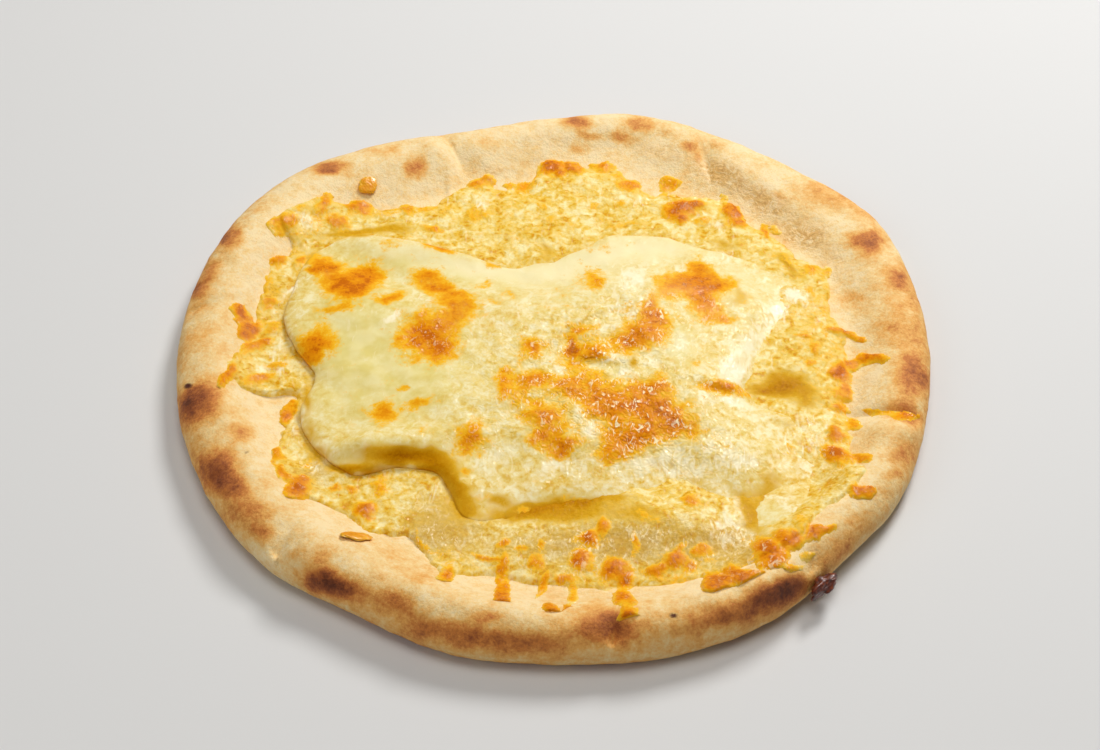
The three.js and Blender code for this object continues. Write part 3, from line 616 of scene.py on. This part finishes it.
def grid_faces(rings, sides):
    """Faces between rings of points that are numbered one ring after another."""
    r, s = np.meshgrid(np.arange(rings - 1), np.arange(sides), indexing="ij")
    after = (s + 1) % sides
    corners = [r * sides + s, r * sides + after, (r + 1) * sides + after, (r + 1) * sides + s]
    return np.stack(corners, axis=-1).reshape(-1, 4).tolist()


def show(name, data):
    """A new object in the scene."""
    made = bpy.data.objects.new(name, data)
    bpy.context.scene.collection.objects.link(made)
    return made


def make_piece(name, node, material, points, faces, masks):
    """A mesh that stands for a CAD node, with its masks stored on its points."""
    mesh = bpy.data.meshes.new(name)
    mesh.from_pydata((points * MM).tolist(), [], faces)
    for key, values in masks.items():
        mesh.attributes.new(key, "FLOAT", "POINT").data.foreach_set("value", values)
    mesh.shade_smooth()
    mesh.materials.append(material)
    piece = show(name, mesh)
    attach(piece, "root")
    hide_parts(node)


def make_ring_piece(name, node, slot, material, rings, first, last, masks):
    """A closed solid over rings of points, with a middle point at either end."""
    count, sides = rings.shape[:2]
    points = np.concatenate([rings.reshape(-1, 3), [first, last]])
    faces = grid_faces(count, sides)
    top = (count - 1) * sides
    for s in range(sides):
        after = (s + 1) % sides
        faces.append([count * sides, after, s])
        faces.append([count * sides + 1, top + s, top + after])
    ends = {key: [values[0].mean(), values[-1].mean()] for key, values in masks.items()}
    flat = {key: np.append(values.ravel(), ends[key]) for key, values in masks.items()}
    make_piece(name, node, material, points, faces, flat)


class Shader:
    """A Principled material and short ways of adding nodes to it."""

    def __init__(self, name, **inputs):
        self.material = bpy.data.materials.new(name)
        self.material.use_nodes = True
        self.tree = self.material.node_tree
        self.surface = self.tree.nodes["Principled BSDF"]
        self.feed(self.surface, **inputs)

    def node(self, kind, **settings):
        made = self.tree.nodes.new("ShaderNode" + kind)
        for key, value in settings.items():
            setattr(made, key, value)
        return made

    def put(self, socket, value):
        if hasattr(value, "is_output"):
            self.tree.links.new(value, socket)
        else:
            socket.default_value = value

    def feed(self, node, **inputs):
        for key, value in inputs.items():
            self.put(node.inputs[key.replace("_", " ")], value)

    def mask(self, name):
        return self.node("Attribute", attribute_name=name).outputs["Fac"]

    def noise(self, size, detail=3, roughness=0.6, distortion=0, stretch=(1, 1, 1)):
        mapping = self.node("Mapping")
        self.feed(mapping, Vector=self.node("TexCoord").outputs["Object"], Scale=stretch)
        made = self.node("TexNoise")
        self.feed(made, Vector=mapping.outputs["Vector"], Scale=1 / (size * MM))
        self.feed(made, Detail=detail, Roughness=roughness, Distortion=distortion)
        return made.outputs["Fac"]

    def sum(self, *terms):
        """Sum of value * factor for each (value, factor) and of plain numbers."""
        total = 0.0
        for term in terms:
            value, factor = term if isinstance(term, tuple) else (term, 1)
            made = self.node("Math", operation="MULTIPLY_ADD")
            for socket, part in zip(made.inputs, (value, factor, total)):
                self.put(socket, part)
            total = made.outputs[0]
        return total

    def span(self, value, low, high, to_low=0.0, to_high=1.0):
        """The value's place between low and high, eased and moved to another span."""
        made = self.node("MapRange", interpolation_type="SMOOTHSTEP")
        for socket, number in zip(made.inputs, (value, low, high, to_low, to_high)):
            self.put(socket, number)
        return made.outputs[0]

    def mix(self, share, a, b):
        made = self.node("Mix", data_type="RGBA")
        self.put(made.inputs["Factor"], share)
        self.put(made.inputs[6], a)
        self.put(made.inputs[7], b)
        return made.outputs[2]

    def ramp(self, value, scale):
        """A colour from a scale of colours."""
        made = self.node("ValToRGB")
        elements = made.color_ramp.elements
        while len(elements) < len(scale):
            elements.new(0.5)
        for element, (place, *colour) in zip(elements, scale):
            element.position = place
            element.color = srgb(*colour)
        self.feed(made, Fac=value)
        return made.outputs["Color"]

    def bump(self, *layers, socket="Normal"):
        """Bumps on top of each other: (height, millimetres)."""
        normal = None
        for height, depth in layers:
            made = self.node("Bump")
            self.feed(made, Strength=1, Distance=depth * MM, Height=height)
            if normal is not None:
                self.feed(made, Normal=normal)
            normal = made.outputs["Normal"]
        self.feed(self.surface, **{socket: normal})


def srgb(red, green, blue):
    """A colour given in screen values from 0 to 255."""
    share = [c / 255 for c in (red, green, blue)]
    return [c / 12.92 if c < 0.04045 else ((c + 0.055) / 1.055) ** 2.4 for c in share] + [1]


def crust_material():
    made = Shader("crust", Subsurface_Weight=0.06, Subsurface_Radius=(0.004, 0.002, 0.001))
    stipple = made.noise(1.1, detail=4, roughness=0.75)
    cloud = made.noise(9, detail=3)
    mottle = made.noise(3.6, detail=2)
    toast = made.sum(made.mask("brown"), (stipple, 0.55), (cloud, 0.45), (mottle, 0.45), -0.67)
    burnt = made.span(made.sum(made.mask("burnt"), (stipple, 0.5), -0.25), 0.3, 0.9)
    colour = made.mix(burnt, made.ramp(toast, CRUST_COLOURS), srgb(84, 36, 20))
    folds = made.noise(4.4, detail=3, distortion=1.4)
    soaked = made.ramp(made.sum((folds, 0.8), (stipple, 0.2)), SOAKED_COLOURS)
    damp = made.mask("damp")
    wet = made.span(made.sum(damp, (stipple, 0.4), -0.2), 0.1, 0.8)
    colour = made.mix(wet, colour, soaked)
    made.feed(made.surface, Base_Color=colour, Roughness=made.span(damp, 0, 1, 0.75, 0.42))
    creases = made.noise(5, detail=2, distortion=1.2)
    made.bump(
        (made.noise(2.4, detail=4, roughness=0.7), 0.55),
        (made.noise(0.9, detail=3, roughness=0.7), 0.25),
        (made.sum((creases, damp)), 0.9),
    )
    return made.material


def cheese_shader(name):
    """Oily cheese: a soft body under a clear, finely wrinkled wet film."""
    made = Shader(name, Roughness=0.5, Coat_Roughness=0.05, Specular_IOR_Level=0.05)
    made.feed(made.surface, Subsurface_Weight=0.06, Subsurface_Radius=(0.003, 0.002, 0.001))
    return made


def oily_colour(made, fleck, pale, gloss):
    """Painted sheen, olive hollows partly of painted shade, browned spots and painted glints over the
    plain cheese, and its wet film.
    """
    sheen_mask = made.mask("sheen")
    olive_mask = made.mask("olive")
    streaks = made.noise(2.6, detail=1, distortion=1, stretch=(1, 0.4, 0.6))
    # Painted sheen: the colour is whitened where the oil shines.
    sheen = made.span(made.sum(sheen_mask, (streaks, 1.6), -0.8), 0.15, 0.9)
    colour = made.mix(sheen, pale, srgb(252, 240, 202))
    # Olive in the deep hollows, partly the cheese's own colour and partly painted shade.
    olive = made.ramp(made.sum((olive_mask, 0.9), (fleck, 0.4), -0.2), OLIVE_COLOURS)
    hollow = made.span(olive_mask, 0.05, 0.5)
    colour = made.mix(hollow, colour, olive)
    cloud = made.noise(5, detail=2)
    toast = made.sum((made.mask("brown"), 1.15), (fleck, 0.7), (cloud, 1.1), -1.1)
    toasted = made.ramp(toast, [(0, 240, 190, 60)] + TOASTED_COLOURS)
    colour = made.mix(made.span(toast, -0.05, 0.35), colour, toasted)
    # Painted glints: cream-white strokes in clusters over the colour.
    film = made.noise(2.2, detail=2, distortion=2, stretch=(1, 0.5, 0.7))
    clusters = made.sum((made.span(cloud, 0.38, 0.6), gloss), (hollow, -0.5))
    glint = made.sum((made.span(film, 0.54, 0.62), made.span(clusters, 0, 1)))
    made.feed(made.surface, Coat_Weight=made.sum(0.3, (sheen_mask, 0.4), (hollow, -0.26)))
    return made.mix(glint, colour, srgb(255, 238, 190))


def grated_material():
    made = cheese_shader("grated_cheese")
    fleck = made.noise(1.2, detail=2)
    blotch = made.noise(3.6, detail=1, distortion=0.8)
    cloud = made.noise(10, detail=2)
    pale = made.ramp(made.sum((fleck, 0.22), (blotch, 0.43), (cloud, 0.35)), GRATED_COLOURS)
    # Painted shade: darker beige where the layer lies in shade, then the slab's painted shade on the layer
    # round it.
    dull = made.mask("dull")
    pale = made.mix(made.sum((dull, 1.5), (fleck, -1), 0.2), pale, srgb(196, 152, 66))
    pale = made.mix(made.mask("shade"), pale, srgb(176, 130, 30))
    # More painted glints where the oil shines and in the painted shade.
    gloss = made.sum(0.22, (made.mask("sheen"), 0.5), (dull, 0.5))
    made.feed(made.surface, Base_Color=oily_colour(made, fleck, pale, gloss))
    made.bump((made.noise(2.2, detail=2), 0.45))
    made.bump(
        (made.noise(3.5, detail=0, distortion=0.5), 0.6),
        (made.noise(1.7, detail=0, distortion=1.5), 0.6),
        socket="Coat_Normal",
    )
    return made.material


def slab_material():
    made = cheese_shader("melted_cheese")
    fleck = made.noise(1.2, detail=2, distortion=0.6)
    blotch = made.noise(4, detail=1, distortion=0.8)
    cloud = made.noise(9, detail=2)
    wrinkle, grainy, speckle = (made.mask(name) for name in ("wrinkle", "grainy", "speckle"))
    wax = made.mix(made.span(cloud, 0.35, 0.65), srgb(224, 206, 124), srgb(234, 219, 152))
    # Milky cheese and painted highlight whiten the wax.
    wax = made.mix(made.mask("milky_and_sheen"), wax, srgb(244, 230, 180))
    flecks = made.ramp(made.sum((fleck, 0.3), (blotch, 0.45), (cloud, 0.25)), SLAB_COLOURS)
    pale = made.mix(made.sum((speckle, 0.8), (grainy, 0.3)), wax, flecks)
    dark = made.span(made.sum((made.mask("dark"), 0.8), (fleck, 0.4), -0.2), 0.25, 0.9)
    colour = oily_colour(made, fleck, pale, made.sum((wrinkle, 0.85), (dark, -0.3)))
    colour = made.mix(made.sum((dark, 0.8)), colour, srgb(170, 84, 2))
    made.feed(made.surface, Base_Color=colour)
    wrinkled = made.sum((made.noise(3.4, detail=0, distortion=2), wrinkle))
    made.bump((wrinkled, 0.5))
    grain = made.sum(0.1, (speckle, 0.4), (grainy, 0.5))
    grained = made.sum((made.noise(1.7, detail=0, distortion=1.5), grain))
    made.bump((wrinkled, 1.1), (grained, 0.7), socket="Coat_Normal")
    return made.material


def browned_material():
    made = Shader("browned_cheese", Roughness=0.4, Coat_Weight=0.4, Coat_Roughness=0.1)
    mottle = made.noise(1.5, detail=3)
    toast = made.sum((mottle, 0.5), (made.noise(4), 0.6), (made.mask("brown"), 0.7), -0.6)
    made.feed(made.surface, Base_Color=made.ramp(toast, [(0, 242, 198, 84)] + TOASTED_COLOURS))
    made.bump((made.noise(1.6, detail=1), 0.5))
    return made.material


def burnt_material():
    made = Shader("burnt_cheese", Roughness=0.45, Coat_Weight=0.5, Coat_Roughness=0.2)
    made.feed(made.surface, Base_Color=made.ramp(made.noise(1.8, detail=4), BURNT_COLOURS))
    made.bump((made.noise(1.4, detail=4), 0.5))
    return made.material


def bread_rings(angle, outline):
    """Rings of points from the middle of the underside over the rim to the middle of the floor."""
    crest = around(CREST_HEIGHT, angle)
    crest_inset = around(CREST_INSET, angle)
    width = around(RIM_WIDTH, angle)
    radii = []
    heights = []
    for k in range(UNDERSIDE_RINGS):
        share = (k + 1) / (UNDERSIDE_RINGS + 1)
        radii.append(outline - blend(outline, FOOT_INSET, share))
        heights.append(np.zeros(SECTORS))
    for k in range(WALL_RINGS):
        turn = math.pi / 2 * k / WALL_RINGS
        radii.append(outline - FOOT_INSET * (1 - math.sin(turn)))
        heights.append(crest * WIDEST_SHARE * (1 - math.cos(turn)))
    wall_end = len(radii)
    insets = [crest_inset * (1 - math.cos(math.pi / 2 * k / DOME_RINGS)) for k in range(DOME_RINGS)]
    insets += [blend(crest_inset, width, k / SLOPE_RINGS) for k in range(SLOPE_RINGS + 1)]
    insets += [blend(width, outline, k / FLOOR_RINGS) for k in range(1, FLOOR_RINGS)]
    radius = np.array(radii + [outline - inset for inset in insets])
    x, y = radius * np.cos(angle), radius * np.sin(angle)
    z = np.concatenate([heights, dough_height(x[wall_end:], y[wall_end:])])
    rings = np.stack([x, y, z], axis=-1)
    share = np.full(z.shape, 0.5)
    share[UNDERSIDE_RINGS:wall_end + DOME_RINGS] = 1
    blisters = uneven(rings, CRUST_BLISTERS) * share
    blisters[:UNDERSIDE_RINGS + 1] = 0
    rings += normals_of(rings) * blisters[..., None]
    rings[..., 2] = np.maximum(rings[..., 2], 0)
    return rings, wall_end


def make_bread():
    angle = sectors()
    outline = around(OUTLINE_RADIUS, angle)
    rings, wall_end = bread_rings(angle, outline)
    x, y, z = (rings[..., k] for k in range(3))
    seen = warped(*as_seen(x, y, z), *CRUST_WARP)
    outward = np.broadcast_to(outline, z.shape) - np.hypot(x, y)
    is_low = np.arange(len(z))[:, None] < wall_end
    up_wall = WALL_FADE * z / WALL_FADE_HEIGHT
    low = 1 - ease(np.where(is_low, up_wall, WALL_FADE + outward / DOME_FADE_WIDTH))
    tone = around(WALL_TONE, np.broadcast_to(angle, z.shape))
    wall = tone * low * (WALL_PATCH_MEAN + uneven(rings, WALL_PATCHES))
    brown = either(marks(CRUST_BROWN, *seen, SHARPNESS), wall) + uneven(rings, CRUST_CLOUDS)
    underside = rings[:UNDERSIDE_RINGS]
    brown[:UNDERSIDE_RINGS] = UNDERSIDE_TONE + uneven(underside, UNDERSIDE_CLOUDS)
    masks = {
        "brown": np.clip(brown, 0, 1),
        "burnt": marks(CRUST_BURNT, *seen, SHARPNESS),
        "damp": marks(CRUST_DAMP, *seen, SHARPNESS),
    }
    top = [0, 0, float(dough_height(np.zeros(1), np.zeros(1))[0])]
    make_ring_piece("baked_bread", "bread", "crust", crust_material(), rings, [0, 0, 0], top, masks)


def blob_shape(x, y):
    """Height of the browned bubbles over the layer that they stand on, and how brown they are."""
    height = np.zeros(np.shape(x))
    brown = np.zeros(np.shape(x))
    for blob in BLOBS:
        far, strength = patch(x, y, *blob)
        rise = BLOB_RISE + BLOB_BROWN_RISE * strength**2
        rise *= min(1, min(blob[2:4]) / BLOB_FULL_WIDTH)
        height = np.maximum(height, rise * np.clip(1 - far, 0, 1) ** BLOB_ROUNDNESS)
        brown = np.maximum(brown, min(1, BLOB_TONE * strength) * np.exp(-far**BLOB_SHARPNESS))
    return height, brown


def grated_reach(angle, edge):
    """How far the grated layer's mesh reaches, out to its bubbles and strings."""
    outer = edge + EDGE_MARGIN
    for cx, cy, length, width, *_ in BLOBS:
        size = max(length, width)
        away = np.abs(np.mod(angle - math.atan2(cy, cx) + math.pi, 2 * math.pi) - math.pi)
        beside = np.maximum(away * math.hypot(cx, cy) - size, 0)
        outer = np.maximum(outer, math.hypot(cx, cy) + size + BLOB_MARGIN - beside)
    return np.minimum(outer, around(OUTLINE_RADIUS, angle) - OUTLINE_MARGIN)


def grated_masks(plan, radius, angle, inside, seen, brown):
    """Masks of the grated layer's top."""
    gold = marks(GRATED_GOLD, *seen)
    rim = np.exp(-((inside - RIM_INSET) / RIM_GOLD_WIDTH) ** 2)
    rim = rim * (RIM_GOLD_MEAN + uneven(plan, RIM_GOLD)) * np.clip(gold * 2, 0, 1)
    lip = 1 - np.clip(around(SLAB_SOFTNESS, angle), 0, 1)
    from_slab = radius - reach(SLAB_EDGE, angle)
    return {
        "brown": np.clip(np.maximum(brown, GOLD_TONE * gold + rim), 0, 1),
        "shade": LIP_SHADE * lip * np.exp(-np.maximum(from_slab + 1, 0) / LIP_SHADE_WIDTH),
        "dull": marks(GRATED_SHADE_GLINTS, *seen),
        "olive": marks(OLIVE, *seen),
        "sheen": marks(SHEEN, *seen),
    }


def make_grated_cheese():
    angle = sectors()
    edge = reach(GRATED_EDGE, angle)
    share = np.linspace(0, 1, GRATED_RINGS)[:, None]
    radius = blend(grated_reach(angle, edge), INNER_SHARE * reach(SLAB_EDGE, angle), share)
    x, y = np.moveaxis(radius[..., None] * compass(angle), -1, 0)
    plan = on_plan(x, y)
    dough = dough_height(x, y)
    inside = edge - radius + uneven(plan, GRATED_LOBES)
    full = GRATED_THICKNESS * blend(GRATED_EDGE_SHARE, 1, ease(inside / GRATED_EDGE_WIDTH))
    dip = -FILM_DIP * ease(-inside / FILM_DIP_WIDTH)
    film = np.where(inside > 0, full * dome(inside / FILM_LIP), dip)
    seen = warped(*as_seen(x, y, dough + GRATED_MARK_LIFT), *GRATED_WARP)
    seen = warped(*seen, *GRATED_FINE_WARP)
    rise, brown = blob_shape(*seen)
    on = ease((np.maximum(film, rise) - COVER_START) / COVER_WIDTH)
    grain = sum(share * grains(x, y, size, seed) for share, size, seed in GRAINS) - GRAIN_MEAN
    surface = on * (grain * GRAIN_HEIGHT + uneven(plan, GRATED_SWELLS))
    height = np.where(rise > 0.02, np.maximum(film, BARE_LEVEL) + rise, film) + surface
    z = dough + GAP + height + on * relief(GRATED_RELIEF, x, y)
    top = np.stack([x, y, z], axis=-1)
    under = np.stack([x, y, dough - SUNK], axis=-1)
    rings = np.concatenate([under[::-GRATED_RINGS // GRATED_UNDER_RINGS], under[:1], top])
    hidden = np.zeros((len(rings) - len(top), SECTORS))
    masks = grated_masks(plan, radius, angle, inside, seen, brown)
    masks = {key: np.concatenate([hidden, values]) for key, values in masks.items()}
    ends = [0, 0, FLOOR - SUNK], [0, 0, FLOOR + GRATED_THICKNESS]
    make_ring_piece("baked_grated_cheese", "cheese_grated", "grated_cheese", grated_material(),
                    rings, *ends, masks)


def slab_plan():
    """A square grid of points bent to the slab's outline: x, y, inset and softness of the edge."""
    line = np.linspace(-1, 1, SLAB_CELLS + 1)
    a, b = np.meshgrid(line, line)
    wide = np.abs(a) >= np.abs(b)
    longer = np.where(wide, a, b)
    shorter = np.where(wide, b, a)
    turn = math.pi / 4 * shorter / np.where(longer == 0, 1, longer)
    angle = np.where(wide, turn, math.pi / 2 - turn) + np.where(longer < 0, math.pi, 0)
    x, y = np.cos(angle), np.sin(angle)
    edge = reach(SLAB_EDGE, np.mod(angle, 2 * math.pi))
    edge = edge + uneven(SLAB_ROUND * on_plan(x, y), SLAB_LOBES)
    share = np.abs(longer)
    lip_share = 2 * SLAB_LIP_RINGS / SLAB_CELLS
    lip_inset = SLAB_EDGE_WIDTH * (1 - np.cos(math.pi / 2 * (1 - share) / lip_share))
    inner_radius = (edge - SLAB_EDGE_WIDTH) * share / (1 - lip_share)
    radius = np.where(share > 1 - lip_share, edge - lip_inset, inner_radius)
    softness = np.clip(around(SLAB_SOFTNESS, angle), 0, 1)
    return radius * x, radius * y, edge - radius, softness


def depth_within(x, y):
    """Distance from each point of a square grid to the grid's border, smooth all over.

    Each piece of the border pulls with the inverse sixth power of its distance, so a straight border
    pulls with the inverse fifth.
    """
    pull = np.zeros(x.shape)
    for side in ((x[0], y[0]), (x[-1], y[-1]), (x[:, 0], y[:, 0]), (x[:, -1], y[:, -1])):
        length = np.hypot(*np.gradient(np.array(side), axis=1))
        for border_x, border_y, piece in zip(*side, length):
            pull += piece / ((x - border_x) ** 2 + (y - border_y) ** 2 + 0.04) ** 3
    return (STRAIGHT_PULL / pull) ** 0.2


def edge_grain(share, inset, strength, start, width):
    """Grain along the slab's edge, which fades out inwards."""
    return strength * (share * (1 - ease((inset - start) / width)))


def slab_masks(x, y, z, inset, softness, wrinkle):
    """Masks of the slab's top."""
    seen = warped(*as_seen(x, y, z), *SLAB_WARP)
    melted = edge_grain(softness, inset, *MELTED_GRAIN)
    lip = edge_grain(1 - softness, inset, *LIP_GRAIN)
    grainy = np.maximum(either(marks(SLAB_GRAINY, *seen), melted), lip)
    milky_and_sheen = marks(SLAB_MILKY_AND_SHEEN, *seen)
    return {
        "brown": marks(SLAB_BROWN, *seen, SPOT_SHARPNESS),
        "dark": marks(SLAB_DARK, *seen, SHARPNESS),
        "olive": marks(OLIVE, *seen),
        "sheen": marks(SHEEN, *seen),
        "wrinkle": wrinkle,
        "grainy": grainy * (1 - milky_and_sheen),
        "speckle": (1 - marks(SLAB_SMOOTH, *seen)) * (1 - MILKY_AND_SHEEN_SMOOTHING * milky_and_sheen),
        "milky_and_sheen": milky_and_sheen,
    }


def slab_side(rim, base):
    """Rows of points down the slab's side and in under it."""
    out = compass(np.arctan2(rim[:, 1], rim[:, 0]))
    rows = []
    for k in range(1, SIDE_STEPS + 1):
        turn = math.pi / 2 * k / SIDE_STEPS
        height = blend(rim[:, 2], base - SIDE_SUNK, math.sin(turn))
        rows.append(np.column_stack([rim[:, :2] - out * SIDE_LEAN * (1 - math.cos(turn)), height]))
    level = np.full(len(rim), UNDERSIDE_LEVEL)
    rows.append(np.column_stack([rim[:, :2] * UNDERSIDE_SHARE, level]))
    return rows


def slab_solid(top, base):
    """Points and faces of the slab with its side and underside, and the numbers of its border."""
    number = np.arange(top[..., 0].size).reshape(top.shape[:2])
    corners = [number[:-1, :-1], number[:-1, 1:], number[1:, 1:], number[1:, :-1]]
    faces = np.stack(corners, axis=-1).reshape(-1, 4).tolist()
    border = np.concatenate([number[0, :-1], number[:-1, -1], number[-1, :0:-1], number[:0:-1, 0]])
    top = top.reshape(-1, 3)
    side = slab_side(top[border], base.ravel()[border])
    loop = border
    for k in range(len(side)):
        lower = len(top) + k * len(border) + np.arange(len(border))
        quads = [loop, lower, np.roll(lower, -1), np.roll(loop, -1)]
        faces += np.stack(quads, axis=-1).tolist()
        loop = lower
    middle = np.full(len(loop), loop[-1] + 1)
    faces += np.stack([middle, np.roll(loop, -1), loop], axis=-1).tolist()
    return np.concatenate([top, *side, [[0, 0, UNDERSIDE_LEVEL]]]), faces, border


def make_slab():
    x, y, inset, softness = slab_plan()
    full = dome(inset / SLAB_EDGE_WIDTH)
    base = dough_height(x, y) + GRATED_THICKNESS + 2 * GAP
    lip = blend(SLAB_EDGE_SHARE, 1, full)
    melted = ease(depth_within(x, y) / SLAB_SOFT_WIDTH) * (1 + SLAB_SOFT_DIP) - SLAB_SOFT_DIP
    folds = relief(SLAB_RELIEF, x, y) + relief(SLAB_FOLDS, x, y)
    z = base + SLAB_THICKNESS * blend(lip, melted, softness) + full * folds
    wrinkle = marks(SLAB_WRINKLED, *as_seen(x, y, z))
    plan = on_plan(x, y)
    z = z + full * uneven(plan, SLAB_SWELLS)
    z = z + full * wrinkle * uneven(plan, SLAB_WRINKLES)
    points, faces, border = slab_solid(np.stack([x, y, z], axis=-1), base)
    masks = {}
    for key, values in slab_masks(x, y, z, inset, softness, wrinkle).items():
        top = values.ravel()
        side = np.resize(top[border], len(points) - len(top) - 1)
        masks[key] = np.concatenate([top, side, [0]])
    make_piece("melted_cheese_slab", "cheese_slab", slab_material(),
               points, faces, masks)


def make_lump(name, node, slot, material, x, y, length, width, rise, degrees, rough):
    """A lump that lies on the dough and leans with it."""
    here = dough_height(np.array([x, x + 1, x - 1, x, x]), np.array([y, y, y, y + 1, y - 1]))
    up = Vector((here[2] - here[1], here[4] - here[3], 2)).normalized()
    band = math.pi * np.arange(1, LUMP_BANDS) / LUMP_BANDS
    side = 2 * math.pi * np.arange(LUMP_SIDES) / LUMP_SIDES
    ball = np.stack([
        np.sin(band)[:, None] * np.cos(side),
        np.sin(band)[:, None] * np.sin(side),
        np.broadcast_to(-np.cos(band)[:, None], (len(band), LUMP_SIDES)),
    ], axis=-1)
    seed = LUMP_SEED + int(abs(x))
    ball = ball * (1 + uneven(ball, [[rough, 0.7, seed], [0.4 * rough, 0.3, seed + 1]]))[..., None]
    turn = math.radians(degrees)
    u = ball[..., 0] * length * math.cos(turn) - ball[..., 1] * width * math.sin(turn)
    v = ball[..., 0] * length * math.sin(turn) + ball[..., 1] * width * math.cos(turn)
    lean = np.array(Vector((0, 0, 1)).rotation_difference(up).to_matrix())
    place = np.array([x, y, here[0] + LUMP_LIFT])
    rings = np.stack([u, v, ball[..., 2] * rise], axis=-1) @ lean.T + place
    ends = [lean @ np.array([0, 0, end * rise]) + place for end in (-1, 1)]
    masks = {"brown": 0.5 + 0.5 * ball[..., 2]}
    make_ring_piece(name, node, slot, material, rings, *ends, masks)


def make_lumps():
    materials = {"browned_cheese": browned_material(), "burnt_cheese": burnt_material()}
    for name, node, slot, *shape in LUMPS:
        make_lump(name, node, slot, materials[slot], *shape)


def make_camera():
    data = bpy.data.cameras.new("camera")
    data.lens = LENS
    data.sensor_width = SENSOR
    camera = show("camera", data)
    elevation = math.radians(VIEW_ELEVATION)
    back = Vector((0, -math.cos(elevation), math.sin(elevation)))
    camera.location = (Vector(AIM) + back * VIEW_DISTANCE) * MM
    camera.rotation_euler = (math.pi / 2 - elevation, 0, 0)
    bpy.context.scene.camera = camera


def make_light(name, place, size, power, glossy):
    data = bpy.data.lights.new(name, "AREA")
    data.shape = "DISK"
    data.size = size
    data.energy = power
    light = show(name, data)
    light.visible_glossy = glossy
    light.location = place
    light.rotation_euler = (-Vector(place)).to_track_quat("-Z", "Y").to_euler()


def make_studio():
    mesh = bpy.data.meshes.new("floor")
    corners = [(-1, -1), (1, -1), (1, 1), (-1, 1)]
    mesh.from_pydata([(FLOOR_REACH * x, FLOOR_REACH * y, 0) for x, y in corners], [], [(0, 1, 2, 3)])
    mesh.materials.append(Shader("floor", Roughness=0.85, Base_Color=srgb(*FLOOR_TONE)).material)
    floor = show("floor", mesh)
    for light in LIGHTS:
        make_light(*light)
    world = bpy.data.worlds.new("studio")
    world.use_nodes = True
    sky = world.node_tree.nodes["Background"].inputs
    sky["Color"].default_value = SKY
    sky["Strength"].default_value = SKY_STRENGTH
    bpy.context.scene.world = world
    bpy.context.scene.view_settings.view_transform = "Standard"


make_camera()
make_studio()
make_bread()
make_grated_cheese()
make_slab()
make_lumps()
